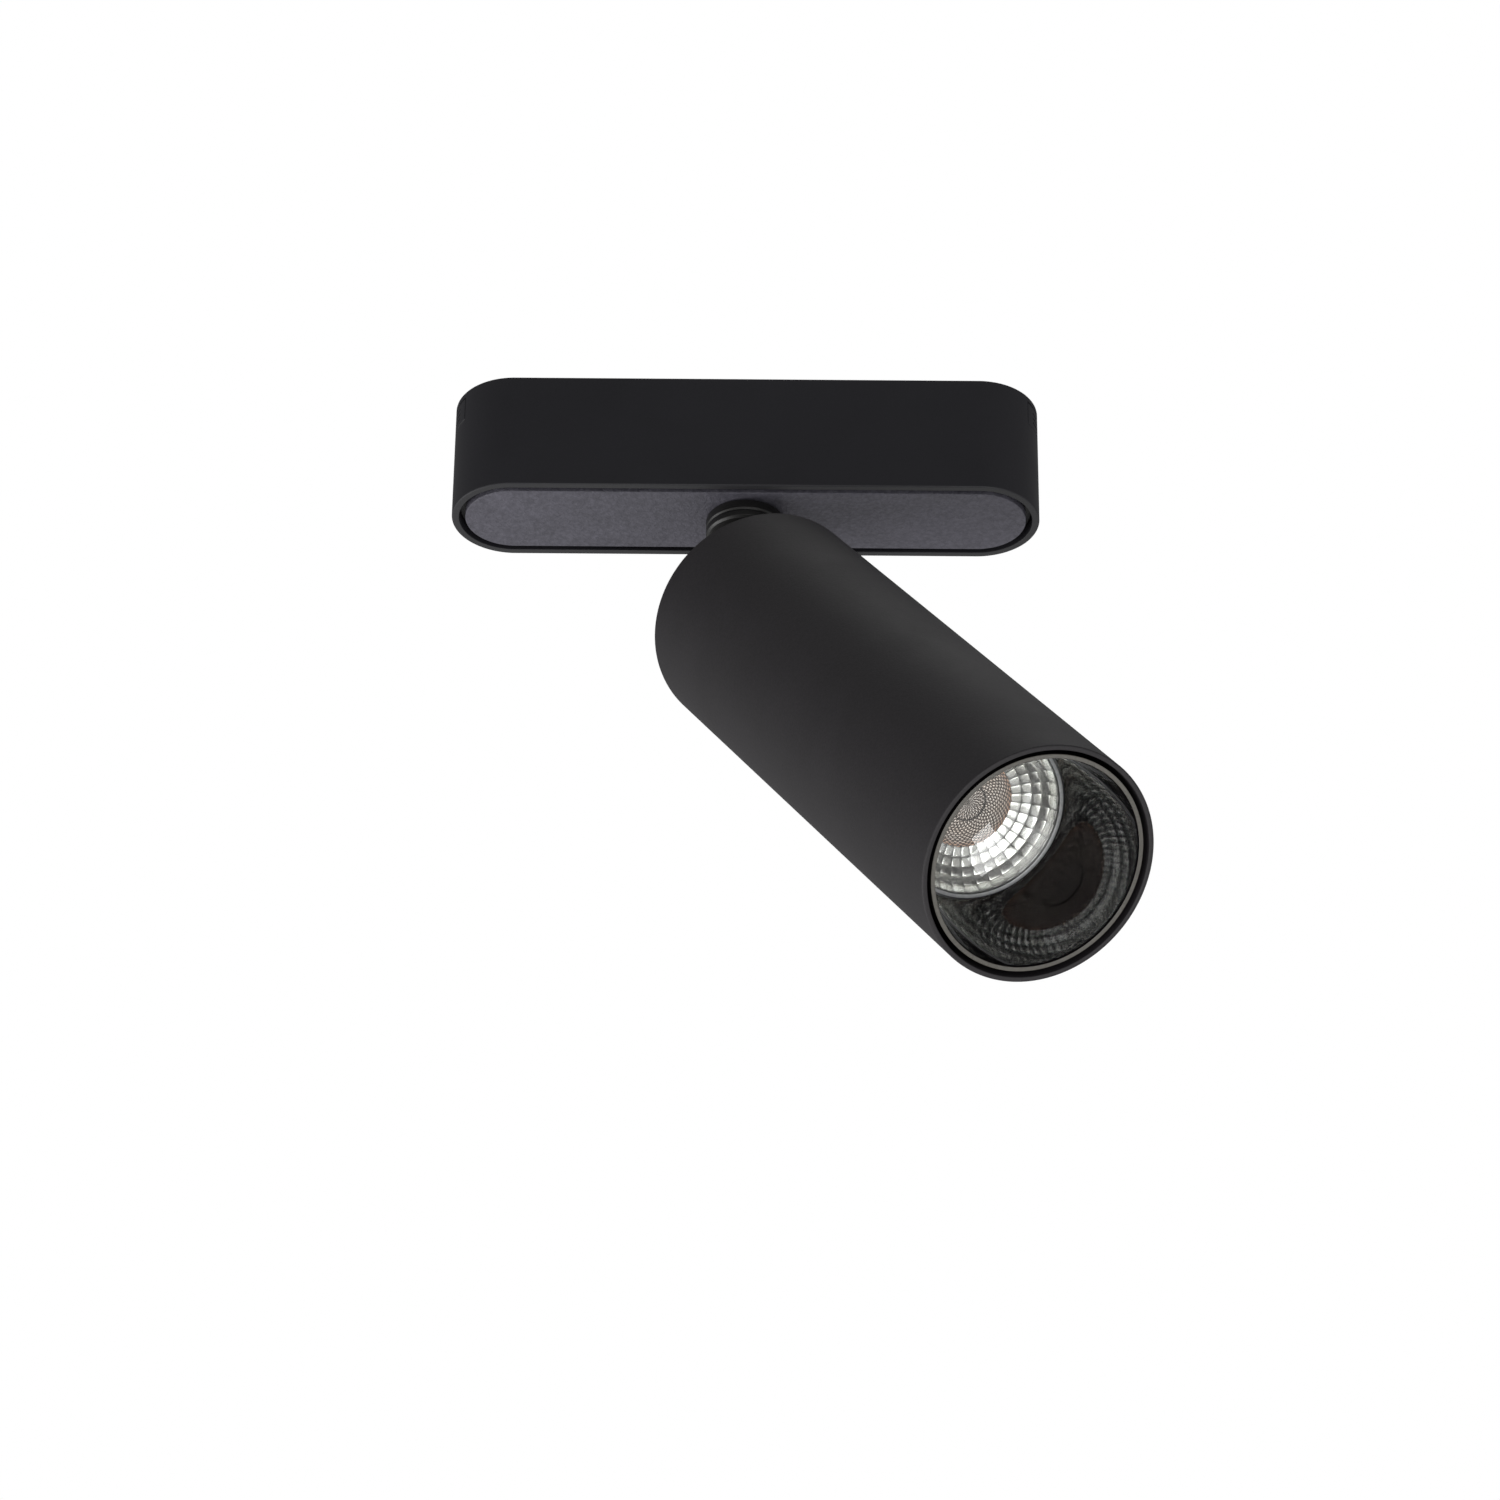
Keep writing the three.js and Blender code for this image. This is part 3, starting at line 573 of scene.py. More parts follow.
def reflector_silver():
    """The vacuum-silvered facets round the optic."""
    material, tree, place, shown = started("reflector_silver")
    grain = placed_group(tree, GRAIN, place, 0.0016)
    smudge = placed_group(tree, HANDLING, place, 0.006).outputs["Smudge"]
    bump = relief_normal(tree, grain.outputs["Height"], SILVER_RELIEF)
    inputs = {
        "Base Color": blended(tree, smudge, (0.56, 0.56, 0.52), (0.80, 0.81, 0.79)),
        "Metallic": 1.0,
        "Roughness": spread(tree, grain.outputs["Speckle"], 0.0, 1.0, 0.14, 0.25),
        "Normal": bump,
    }
    shaded(tree, shown, inputs)
    return material


def from_lamp_axis(tree, place):
    """X, Y and the squared distance from the lamp's axis."""
    local = add_node(tree, "ShaderNodeSeparateXYZ", {0: head_local(tree, place)})
    x, y = local.outputs[0], local.outputs[1]
    square = maths(tree, "ADD", maths(tree, "MULTIPLY", x, x), maths(tree, "MULTIPLY", y, y))
    return x, y, square


GOLDEN_ANGLE = math.pi * (3 - math.sqrt(5))
DOT_PITCH = 0.00041
SPIRALS = (21, 34, 55)
CENTRE_RADIUS = 0.0104
STEP_RADIUS = 0.0042
DOT_RELIEF = 6e-5
# A dark ring painted where the core steps back from the disc: painted shade.
STEP_SHADE_WIDTH = 0.0003
BETWEEN_DOTS = (0.08, 0.062, 0.05)
STEP_SHADE_COLOUR = (0.05, 0.045, 0.04)
AMBER_EDGE = (0.70, 0.28, 0.10)


def dotted_centre():
    """The centre of the optic: rings of small lenses set as in a sunflower head."""
    material, tree, place, shown = started("dotted_centre")
    x, y, square = from_lamp_axis(tree, place)
    count = maths(tree, "DIVIDE", square, DOT_PITCH**2)
    angle = maths(tree, "ARCTAN2", y, x)
    waves = 0.0
    for arms in SPIRALS:
        drift = (arms * GOLDEN_ANGLE + math.pi) % FULL_TURN - math.pi
        round_it = maths(tree, "MULTIPLY", angle, float(arms))
        outwards = maths(tree, "MULTIPLY", count, drift)
        phase = maths(tree, "SUBTRACT", round_it, outwards)
        waves = maths(tree, "ADD", maths(tree, "COSINE", phase), waves)
    dots = spread(tree, waves, -0.4, 1.6, 0.0, 1.0)
    radius = maths(tree, "SQRT", square)
    edge = spread(tree, radius, CENTRE_RADIUS * 0.86, CENTRE_RADIUS, 0.0, 1.0)
    core = spread(tree, radius, 0.0, STEP_RADIUS * 1.6, 1.0, 0.0)
    smudge = placed_group(tree, HANDLING, place, 0.005).outputs["Smudge"]
    body = blended(tree, core, (0.78, 0.66, 0.56), (0.92, 0.86, 0.80))
    body = blended(tree, maths(tree, "MULTIPLY", smudge, 0.5), body, (0.92, 0.88, 0.84))
    body = blended(tree, maths(tree, "MULTIPLY", edge, 0.65), body, AMBER_EDGE)
    # Painted shade: a dark ring where the core steps back from the disc.
    from_step = maths(tree, "ABSOLUTE", maths(tree, "SUBTRACT", radius, STEP_RADIUS))
    groove = spread(tree, from_step, 0.0, STEP_SHADE_WIDTH, 0.0, 1.0)
    colour = blended(tree, dots, BETWEEN_DOTS, body)
    colour = blended(tree, groove, STEP_SHADE_COLOUR, colour)
    bump = relief_normal(tree, dots, DOT_RELIEF)
    inputs = {
        "Base Color": colour,
        "Metallic": 0.35,
        "Roughness": spread(tree, dots, 0.0, 1.0, 0.4, 0.22),
        "Normal": bump,
    }
    shaded(tree, shown, inputs)
    return material


DISH_RADIUS = 0.110


def clear_window():
    """The optic's clear front, dished very slightly; lamps reach what is behind it."""
    material, tree, place, shown = started("clear_window")
    smudge = placed_group(tree, HANDLING, place, 0.012).outputs["Smudge"]
    square = from_lamp_axis(tree, place)[2]
    sag = maths(tree, "DIVIDE", square, 2 * DISH_RADIUS)
    dish = relief_normal(tree, sag, 1.0)
    inputs = {
        "Base Color": blended(tree, smudge, (0.95, 0.96, 0.96), (1.0, 1.0, 1.0)),
        "Normal": dish,
        "Roughness": 0.0,
        "IOR": 1.49,
        "Transmission Weight": 1.0,
    }
    glass = add_node(tree, "ShaderNodeBsdfPrincipled", inputs)
    passing = add_node(tree, "ShaderNodeBsdfTransparent")
    path = add_node(tree, "ShaderNodeLightPath")
    mix = add_node(
        tree,
        "ShaderNodeMixShader",
        {0: path.outputs["Is Shadow Ray"], 1: glass.outputs[0], 2: passing.outputs[0]},
    )
    tree.links.new(mix.outputs[0], shown.inputs["Surface"])
    return material


FLOOR_GLOW = 0.52


def floor_pale():
    """The pale floor, lit evenly from below like a light table."""
    material = coated("floor_pale")
    tree = material.node_tree
    shader = tree.nodes["Principled BSDF"]
    tint = shader.inputs["Base Color"].links[0].from_socket
    tree.links.new(tint, shader.inputs["Emission Color"])
    shader.inputs["Emission Strength"].default_value = FLOOR_GLOW
    return material


SPECIAL = {
    "floor_pale": floor_pale,
    "reflector_silver": reflector_silver,
    "dotted_centre": dotted_centre,
    "clear_window": clear_window,
}


def surface(name):
    """The material of that name, built the first time that it is asked for."""
    made = bpy.data.materials.get(name + FINISH_ENDING)
    if made is None:
        made = SPECIAL[name]() if name in SPECIAL else coated(name)
    return made


# ---- Sizes and settings that a user would change ----


def length(name, description, millimetres):
    return FloatProperty(
        name=name,
        description=description,
        default=millimetres * MM,
        min=0.0,
        precision=5,
        unit="LENGTH",
    )


BOX_LOW, BOX_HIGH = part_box("housing")


class SpotlightBox(bpy.types.PropertyGroup):
    long: length("Length", "Driver box, end to end", (BOX_HIGH.x - BOX_LOW.x) / MM)
    wide: length("Width", "Driver box, across", (BOX_HIGH.y - BOX_LOW.y) / MM)
    high: length("Height", "Driver box, from the track face down", -BOX_LOW.z / MM)
    wall: length("Wall", "Thickness of the extruded wall", 1.8)
    rim_gap: length("Rim gap", "Shadow gap between the wall and the bottom plate", 1.5)
    edge: length("Edge", "Radius of the housing's outer edges", 0.4)
    round_steps: IntProperty(name="Roundness", description="Sides of a round end", default=128, min=32)


class SpotlightHead(bpy.types.PropertyGroup):
    radius: length("Tube radius", "Outside radius of the lamp tube", 27.5)
    wall: length("Tube wall", "Thickness of the lamp tube", 1.2)
    back: length("Pivot to tube", "From the tilt pivot to the tube's back end", 10.6)
    front: length("Pivot to mouth", "From the tilt pivot to the tube's front end", 171.0)
    optic_depth: length("Baffle depth", "From the mouth to the optic's clear front", 31.15)
    lip_recess: length("Lip recess", "How far the baffle's lip sits inside the mouth", 0.6)
    round_steps: IntProperty(name="Roundness", description="Sides of the tube", default=160, min=48)


class SpotlightOptic(bpy.types.PropertyGroup):
    columns: IntProperty(name="Columns", description="Facets round the reflector", default=36, min=12)
    pillow: length("Pillow", "How far each facet bulges", 0.16)


class SpotlightStage(bpy.types.PropertyGroup):
    backdrop: FloatVectorProperty(
        name="Backdrop", description="Colour behind the object", default=(1.0, 1.0, 1.0), subtype="COLOR"
    )
    ambient: FloatProperty(name="Ambient", description="Strength of the even light", default=0.24, min=0.0)
    floor_drop: length("Floor drop", "From the track face down to the floor", 1400.0)
    lens: FloatProperty(name="Lens", description="Focal length in millimetres", default=131.673, min=1.0)


# ---- Driver box ----

LEDGE_HEIGHTS = ((-30.7, -29.5), (-2.7, -1.5))
END_WINDOW = (60, 75)
COVER_SCREW_X = 29

def in_mm(group, *names):
    return [getattr(group, name) / MM for name in names]


class SPOTLIGHT_OT_housing(bpy.types.Operator):
    """Model the extruded housing of the driver box"""

    bl_idname = "spotlight.housing"
    bl_label = "Housing"

    def execute(self, context):
        box = context.scene.spotlight_box
        long, wide, high, wall, edge = in_mm(box, "long", "wide", "high", "wall", "edge")
        radius = wide / 2
        reach = long / 2 - radius
        inner = radius - wall
        corners = [(radius, 0, edge), (radius, -high, edge), (inner, -high, 0.2), (inner, 0, 0.2)]
        piece = long_bar("housing_shell", corners, reach, box.round_steps)
        for side in (-1, 1):
            for low, top in LEDGE_HEIGHTS:
                across = sorted((side * (inner - 1.1), side * (inner + 0.5)))
                ledge = block("ledge", (-reach, across[0], low), (reach, across[1], top))
                joined(piece, ledge)
            ends = sorted(side * x for x in END_WINDOW)
            window = block("window", (ends[0], -8.7, -8.5), (ends[1], 8.7, -1.5))
            cut(piece, window)
        smoothed(piece)
        piece.data.materials.append(surface("satin_black"))
        # The wall's downward faces get the lighter copy of the satin black: painted light from below.
        piece.data.materials.append(surface("rim_painted_light"))
        for face in piece.data.polygons:
            if face.center.z < -(high - 0.05) * MM and face.normal.z < -0.8:
                face.material_index = 1
        fitted(piece, "driver_box", "satin_black", "housing")
        return DONE


class SPOTLIGHT_OT_bottom_plate(bpy.types.Operator):
    """Model the textured plate that closes the box from below"""

    bl_idname = "spotlight.bottom_plate"
    bl_label = "Bottom plate"

    def execute(self, context):
        box = context.scene.spotlight_box
        long, wide, high, wall, gap = in_mm(box, "long", "wide", "high", "wall", "rim_gap")
        radius = wide / 2 - wall - gap
        corners = [(0, -high), (radius, -high, 0.3), (radius, -high + 2.6, 0.2), (0, -high + 2.6)]
        piece = long_bar("bottom_panel", corners, long / 2 - wide / 2, box.round_steps, ring=False)
        cut(piece, drum("hole", 5.4, -high - 1, -high + 4, sides=64))
        smoothed(piece)
        fitted(piece, "driver_box", "plate_grey", "bottom_plate")
        return DONE


class SPOTLIGHT_OT_release_tabs(bpy.types.Operator):
    """Model the sprung release tab in each end of the box"""

    bl_idname = "spotlight.release_tabs"
    bl_label = "Release tabs"

    def execute(self, context):
        box = context.scene.spotlight_box
        long, wide, wall = in_mm(box, "long", "wide", "wall")
        radius = wide / 2
        inner = radius - wall
        corners = [(radius, -1.8, 0.3), (radius, -8.2, 0.3), (inner, -8.2, 0.2), (inner, -1.8, 0.2)]
        tab = long_bar("tab_right", corners, long / 2 - radius, box.round_steps)
        combine(tab, "INTERSECT", block("end", (60, -8.4, -9), (75, 8.4, -1)))
        for place in range(3):
            height = -3.6 - 1.4 * place
            groove = block("groove", (70.6, -6.4, height - 0.25), (76, 6.4, height + 0.25))
            cut(tab, cut_curve(groove, radius - 0.35, long / 2 - radius))
        slide = block("slide", (50, -5.8, -7.4), (70.8, 5.8, -3.2), 0.3)
        rib = block("rib", (51.5, -5.6, -3.5), (57.5, 5.6, 2.6), 0.4)
        joined(tab, slide, rib)
        smoothed(tab)
        other = copied(tab, "tab_left", turn=(0, 0, math.pi))
        fitted(tab, "right_tab", "satin_black", "release_tab_right")
        fitted(other, "left_tab", "satin_black", "release_tab_left")
        return DONE


def cut_curve(tool, radius, reach):
    """Leaves of a cutting bar only what lies outside the round end of that radius."""
    core = drum("core", radius, -12, 2, at=(reach, 0), sides=96)
    return cut(tool, core)


class SPOTLIGHT_OT_top_cover(bpy.types.Operator):
    """Model the moulded cover with its magnet trays, claws and rails"""

    bl_idname = "spotlight.top_cover"
    bl_label = "Top cover"

    def execute(self, context):
        box = context.scene.spotlight_box
        long, wide, wall = in_mm(box, "long", "wide", "wall")
        radius = wide / 2 - wall - GAP
        corners = [(0, -1.2), (radius, -1.2, 0.1), (radius, 0, 0.25), (0, 0)]
        cover = long_bar("adapter_cover", corners, long / 2 - wide / 2, box.round_steps, ring=False)
        for end in (-1, 1):
            self.add_end(cover, end)
        window = block("window", (7.7, -7.3, -3), (24.3, 7.3, 1))
        cut(cover, window)
        smoothed(cover)
        fitted(cover, "driver_box", "moulded_black", "top_cover")
        return DONE

    @staticmethod
    def add_end(cover, end):
        def span(name, x, y, z, edge=0.0):
            x0, x1 = sorted((end * x[0], end * x[1]))
            return block(name, (x0, y[0], z[0]), (x1, y[1], z[1]), edge)

        joined(cover, span("tray", (32, 49), (-8.6, 8.6), (-0.5, 3), 0.35))
        cut(cover, span("pocket", (33.2, 47.8), (-7.4, 7.4), (0.2, 4)))
        for side in (-1, 1):
            claw = sorted((side * 6.6, side * 8.6))
            barb = sorted((side * 8.3, side * 9.3))
            rail = sorted((side * 6.6, side * 7.8))
            joined(cover, span("claw", (52, 58), claw, (-0.5, 4.2), 0.25))
            joined(cover, span("barb", (52, 58), barb, (3.3, 4.2), 0.35))
            joined(cover, span("rail", (41.5, 64), rail, (-8.4, -0.5)))
        joined(cover, span("seat", (41.5, 43), (-7, 7), (-8.4, -0.5)))
        cut(cover, span("slot", (49.7, 57.8), (-5.9, 5.9), (-2.2, 1)))
        joined(cover, drum("pad", 3.3, -3.3, -0.5, at=(end * COVER_SCREW_X, 0)))
        cut(cover, drum("sunk", 2.6, -2.1, 1, at=(end * COVER_SCREW_X, 0)))
        cut(cover, drum("hole", 1.5, -5, 1, at=(end * COVER_SCREW_X, 0)))


class SPOTLIGHT_OT_magnets(bpy.types.Operator):
    """Model the two holding magnets"""

    bl_idname = "spotlight.magnets"
    bl_label = "Magnets"

    def execute(self, context):
        first = block("magnet_plate_right", (33.5, -7.1, 0.5), (47.5, 7.1, 3), 0.4, 3)
        smoothed(first)
        second = copied(first, "magnet_plate_left", turn=(0, 0, math.pi))
        fitted(first, "driver_box", "magnet_nickel", "magnet_right")
        fitted(second, "driver_box", "magnet_nickel", "magnet_left")
        return DONE


class SPOTLIGHT_OT_contacts(bpy.types.Operator):
    """Model the contact block and its four sprung pins"""

    bl_idname = "spotlight.contacts"
    bl_label = "Contacts"

    def execute(self, context):
        body = block("contact_carrier", (8, -7, -8.8), (24, 7, 3.4), 0.5, 3)
        joined(body, block("flange", (6.6, -8.2, -2.9), (25.4, 8.2, -1.5), 0.2))
        bore = [(0, -10), (2.1, -10), (2.1, 2.4), (1.32, 2.4), (1.32, 3.0), (1.8, 3.5), (1.8, 6), (0, 6)]
        pin = turned("pin_1", rounded(self.pin_outline(), ring=False), 32, ring=False)
        smoothed(pin)
        places = [(x, y) for x in (12, 20) for y in (-3.6, 3.6)]
        for place in places:
            cut(body, laid_at(turned("bore", bore, 32, ring=False), (*place, 0)))
        smoothed(body)
        fitted(body, "driver_box", "moulded_black", "contact_block")
        pins = [copied(pin, f"pin_{i + 1}", shift=(*place, 0)) for i, place in enumerate(places)]
        bpy.data.objects.remove(pin)
        for number, made in enumerate(pins, 1):
            made.name = f"pin_{number}"
            fitted(made, f"contact_{number}", "brass", f"contact_pin_{number}")
        return DONE

    @staticmethod
    def pin_outline():
        tip = [(0, 5), (0.75, 4.85, 0.3), (1.2, 4.2, 0.4), (1.2, 2.1)]
        return [*tip, (1.9, 2.1, 0.1), (1.9, 1.2, 0.1), (0.8, 1.2), (0.8, -2.6, 0.15), (0, -2.6)]


SOCKET_SHARE = 0.5


def hex_screw(name, head, head_low, head_top, shank, tip):
    """A socket screw along Z with a hollow hexagon in its head."""
    corners = [(0, tip), (shank, tip, 0.3), (shank, head_low), (head, head_low, 0.15)]
    corners += [(head, head_top, 0.35), (0, head_top)]
    screw = turned(name, rounded(corners, ring=False), 48, ring=False)
    depth = min(1.4, (head_top - head_low) * 0.7)
    cut(screw, drum("socket", head * SOCKET_SHARE, head_top - depth, head_top + 1, sides=6))
    return smoothed(screw)


class SPOTLIGHT_OT_cover_screws(bpy.types.Operator):
    """Model the two sunk screws of the top cover"""

    bl_idname = "spotlight.cover_screws"
    bl_label = "Cover screws"

    def execute(self, context):
        screw = hex_screw("lid_screw", 2.3, -1.8, -0.2, 1.2, -11)
        for end, side in ((-1, "left"), (1, "right")):
            made = copied(screw, f"lid_screw_{side}", shift=(end * COVER_SCREW_X, 0, 0))
            fitted(made, "driver_box", "steel", f"cover_screw_{side}")
        bpy.data.objects.remove(screw)
        return DONE


# ---- Neck, upright about the tilt pivot ----


class SPOTLIGHT_OT_neck(bpy.types.Operator):
    """Model the swivelling neck with its collar and fork"""

    bl_idname = "spotlight.neck"
    bl_label = "Swivel neck"

    def execute(self, context):
        top = 25.2
        corners = [
            (0, 37),
            (5, 37, 0.3),
            (5, top),
            (9.65, top, 0.3),
            (9.65, top - 2.25, 0.15),
            (9.25, top - 2.7, 0.15),
            (9.65, top - 3.15, 0.15),
            (9.65, top - 4.5, 0.2),
            (9.1, top - 5.0, 0.1),
            (8.3, top - 5.0),
            (8.3, 0),
        ]
        line = rounded(corners, ring=False)
        for step in range(1, 12):
            angle = step / 12 * math.pi / 2
            line.append(Vector((8.3 * math.cos(angle), -8.3 * math.sin(angle))))
        line.append(Vector((0, -8.3)))
        neck = turned("neck_fork", line, 96, ring=False)
        cut(neck, block("slot", (-12, -4.6, -12), (12, 4.6, 9.2)))
        cut(neck, drum("bore", 1.9, 8, 38))
        cut(neck, cross_drum("pivot", 2.3, -12, 12))
        for low, high in ((6.4, 12), (-12, -6.4)):
            cut(neck, cross_drum("seat", 4, low, high))
        smoothed(neck)
        # The neck wears a darker copy of its satin black: painted shade.
        neck.data.materials.append(surface("neck_painted_shade"))
        fitted(neck, "neck", "satin_black", "swivel_neck", NECK_PLACE)
        return DONE


class SPOTLIGHT_OT_pivot_hardware(bpy.types.Operator):
    """Model the tilt pivot's screw, nut and two washers"""

    bl_idname = "spotlight.pivot_hardware"
    bl_label = "Pivot hardware"

    def execute(self, context):
        lie = (-math.pi / 2, 0, 0)
        screw = laid(hex_screw("tilt_screw", 3.5, 6.7, 8, 2, -7.9), lie)
        nut = drum("tilt_nut", 3.6, -8, -6.7, sides=6)
        chamfer = [(0, -8), (3.1, -8), (3.7, -7.6), (3.7, -6.7), (0, -6.7)]
        combine(nut, "INTERSECT", turned("chamfer", chamfer, 48, ring=False))
        cut(nut, drum("hole", 2.3, -9, -6))
        laid(smoothed(nut), lie)
        rim = [(6, 3.85, 0.12), (6, 4.35, 0.12), (2.3, 4.35, 0.1), (2.3, 3.85, 0.1)]
        near = laid(smoothed(turned("washer_near", rounded(rim), 64)), lie)
        far = copied(near, "washer_far", turn=(0, 0, math.pi))
        for piece, slot, node in (
            (screw, "black_steel", "pivot_screw"),
            (nut, "black_steel", "pivot_nut"),
            (near, "steel", "pivot_washer_near"),
            (far, "steel", "pivot_washer_far"),
        ):
            fitted(piece, "neck", slot, node, NECK_PLACE)
        return DONE


# ---- Lamp head, hanging straight down from the pivot before it is set in place ----

TIE_SCREW_Y = 15

class SPOTLIGHT_OT_head_tube(bpy.types.Operator):
    """Model the lamp tube"""

    bl_idname = "spotlight.head_tube"
    bl_label = "Lamp tube"

    def execute(self, context):
        head = context.scene.spotlight_head
        radius, wall, back, front = in_mm(head, "radius", "wall", "back", "front")
        bore = radius - wall
        corners = [(radius, -back, 0.4), (radius, -front, 0.4), (bore, -front, 0.25), (bore, -back, 0.25)]
        tube = turned("lamp_tube", rounded(corners), head.round_steps)
        smoothed(tube)
        fitted(tube, "head", "powder_black", "head_tube", HEAD_PLACE)
        return DONE


class SPOTLIGHT_OT_rear_cap(bpy.types.Operator):
    """Model the rear cap with the two lugs of the tilt knuckle"""

    bl_idname = "spotlight.rear_cap"
    bl_label = "Rear cap"

    def execute(self, context):
        head = context.scene.spotlight_head
        radius, wall, back = in_mm(head, "radius", "wall", "back")
        outer = radius - wall - 0.4
        face = -back - 0.6
        low = face - 4.4
        corners = [(0, face), (outer, face, 0.6), (outer, low - 5, 0.2), (outer - 1.6, low - 5)]
        corners += [(outer - 1.6, low), (0, low)]
        cap = turned("tube_cap", rounded(corners, ring=False), 128, ring=False)
        lug = cross_drum("lug", 5.8, 1.6, 3.6, sides=64)
        joined(lug, block("foot", (-5.2, 1.6, face - 1), (5.2, 3.6, 0)))
        broken_edges(lug, 0.3)
        other = copied(lug, "other_lug", turn=(0, 0, math.pi))
        joined(cap, lug, other)
        cut(cap, cross_drum("pivot", 2.3, -9, 9))
        cut(cap, drum("cable", 1.4, low - 1, face + 1))
        for y in (-TIE_SCREW_Y, TIE_SCREW_Y):
            cut(cap, drum("tie", 1.8, low - 1, face + 1, at=(0, y)))
            cut(cap, drum("sunk", 3.3, face - 2.3, face + 1, at=(0, y)))
        smoothed(cap)
        fitted(cap, "head", "powder_black", "rear_cap", HEAD_PLACE)
        tie = hex_screw("cap_screw", 2.9, face - 2, face - 0.2, 1.45, -80)
        for end, side in ((-1, "left"), (1, "right")):
            made = copied(tie, f"cap_screw_{side}", shift=(0, end * TIE_SCREW_Y, 0))
            fitted(made, "head", "black_steel", f"tie_screw_{side}", HEAD_PLACE)
        bpy.data.objects.remove(tie)
        return DONE


class SPOTLIGHT_OT_baffle(bpy.types.Operator):
    """Model the deep gloss black baffle with its lip"""

    bl_idname = "spotlight.baffle"
    bl_label = "Baffle"

    def execute(self, context):
        head = context.scene.spotlight_head
        front, depth, recess, radius, wall = in_mm(
            head, "front", "optic_depth", "lip_recess", "radius", "wall"
        )
        back = -front + depth - GAP
        lip = -front + recess
        body = radius - wall - 0.4
        seat = back - 1.05
        corners = [
            (20.05, back),
            (23.95, lip + 0.8),
            (24.25, lip, 0.15),
            (25.2, lip, 0.15),
            (25.2, lip + 2.5),
            (22.1, back - 4.9),
            (body, back - 4.9),
            (body, seat - GAP),
            (22.1, seat - GAP),
            (22.1, back),
        ]
        cone = turned("baffle_cone", rounded(corners), 160)
        smoothed(cone)
        cone.data.materials.append(surface("gloss_black"))
        # The lip's front ring takes the lighter grey: a bare edge with painted light on it.
        cone.data.materials.append(surface("bare_lip_painted_light"))
        for face in cone.data.polygons:
            if face.center.z < (lip + 0.2) * MM:
                face.material_index = 1
        fitted(cone, "head", "gloss_black", "baffle", HEAD_PLACE)
        return DONE


class SPOTLIGHT_OT_optic(bpy.types.Operator):
    """Model the optic: silver facets, a dotted centre and a clear front with its flange"""

    bl_idname = "spotlight.optic"
    bl_label = "Optic"

    def execute(self, context):
        head = context.scene.spotlight_head
        optic = context.scene.spotlight_optic
        front = (-head.front + head.optic_depth) / MM
        bowl = self.bowl(front, optic)
        window = self.window(front)
        select(window, bowl)
        bpy.ops.object.join()
        bowl.name = "lens_optic"
        fitted(bowl, "head", "clear_optic", "optic", HEAD_PLACE)
        return DONE

    @staticmethod
    def bowl(front, optic):
        """The closed shell behind the window: dotted disc, stepped core and rows of pillow facets."""
        disc = front + 6.65
        core = disc + 0.4
        rows = [(10.5, 6.65), (12.7, 6.1), (14.7, 5.2), (16.5, 4.0), (18.1, 2.55), (19.3, 0.95)]
        outline = [(0, core), (4.1, core), (4.3, disc), (10.3, disc)]
        outline += [(radius, front + depth) for radius, depth in rows]
        outline += [(20.0, front + 0.95), (20.0, front + 1.6), (8.0, front + 13.2), (0, front + 13.2)]
        bowl = turned("bowl", outline, optic.columns, ring=False)
        inner, outer = 10.5 * MM, 19.3 * MM
        bowl_back = (front + 8) * MM

        def is_facet(face):
            middle = face.calc_center_median()
            radius = math.hypot(middle.x, middle.y)
            return inner < radius < outer and middle.z < bowl_back and face.normal.z < -0.2

        for name in ("reflector_silver", "dotted_centre", "flange_frost"):
            bowl.data.materials.append(surface(name))
        for face in bowl.data.polygons:
            radius = math.hypot(face.center.x, face.center.y)
            if face.center.z < (front + 8) * MM and radius < 10.4 * MM:
                face.material_index = 1
        select(bowl)
        bpy.ops.object.shade_smooth_by_angle(angle=math.radians(1))
        edit_mode()
        bpy.ops.mesh.select_all(action="DESELECT")
        pick_faces(bowl, is_facet)
        for width, rise in ((0.16, 0.5), (0.22, 0.3), (0.26, 0.15)):
            bpy.ops.mesh.inset(thickness=width * MM, depth=optic.pillow * rise, use_individual=True)
        bpy.ops.mesh.faces_shade_smooth()
        bpy.ops.object.mode_set(mode="OBJECT")
        return bowl

    @staticmethod
    def window(front):
        """The flat clear front with a stepped flange that the baffle holds."""
        corners = [(0, front + 0.8), (19.2, front + 0.8), (19.5, front + 1.55), (22, front + 1.55, 0.2)]
        corners += [(22, front, 0.2), (19.6, front, 0.05), (19.4, front + 0.12, 0.05), (0, front + 0.12)]
        window = turned("window", rounded(corners, ring=False), 128, ring=False)
        smoothed(window)
        window.data.materials.append(surface("clear_window"))
        window.data.materials.append(surface("flange_frost"))
        for face in window.data.polygons:
            if math.hypot(face.center.x, face.center.y) > 19.3 * MM:
                face.material_index = 1
        return window


class SPOTLIGHT_OT_inner_finishes(bpy.types.Operator):
    """Give every inner part that stays as it is the finish of its slot"""

    bl_idname = "spotlight.inner_finishes"
    bl_label = "Inner finishes"

    def execute(self, context):
        slots = {part["node"]: part["material_slot"] for part in frame["record"]["subparts"]}
        for name, node in NODES.items():
            if node.hide_render:
                continue
            finish = surface(slots[name])
            if not node.material_slots:
                node.data.materials.append(finish)
            for place in node.material_slots:
                place.material = finish
        return DONE


# ---- Stage ----

CAMERA_PLACE = (0.00781, -1.10676, -0.79692)
CAMERA_TURN = (122.2575, -0.5086, -0.0039)
SENSOR_WIDTH = 36.0
FLOOR_SIZE = 14
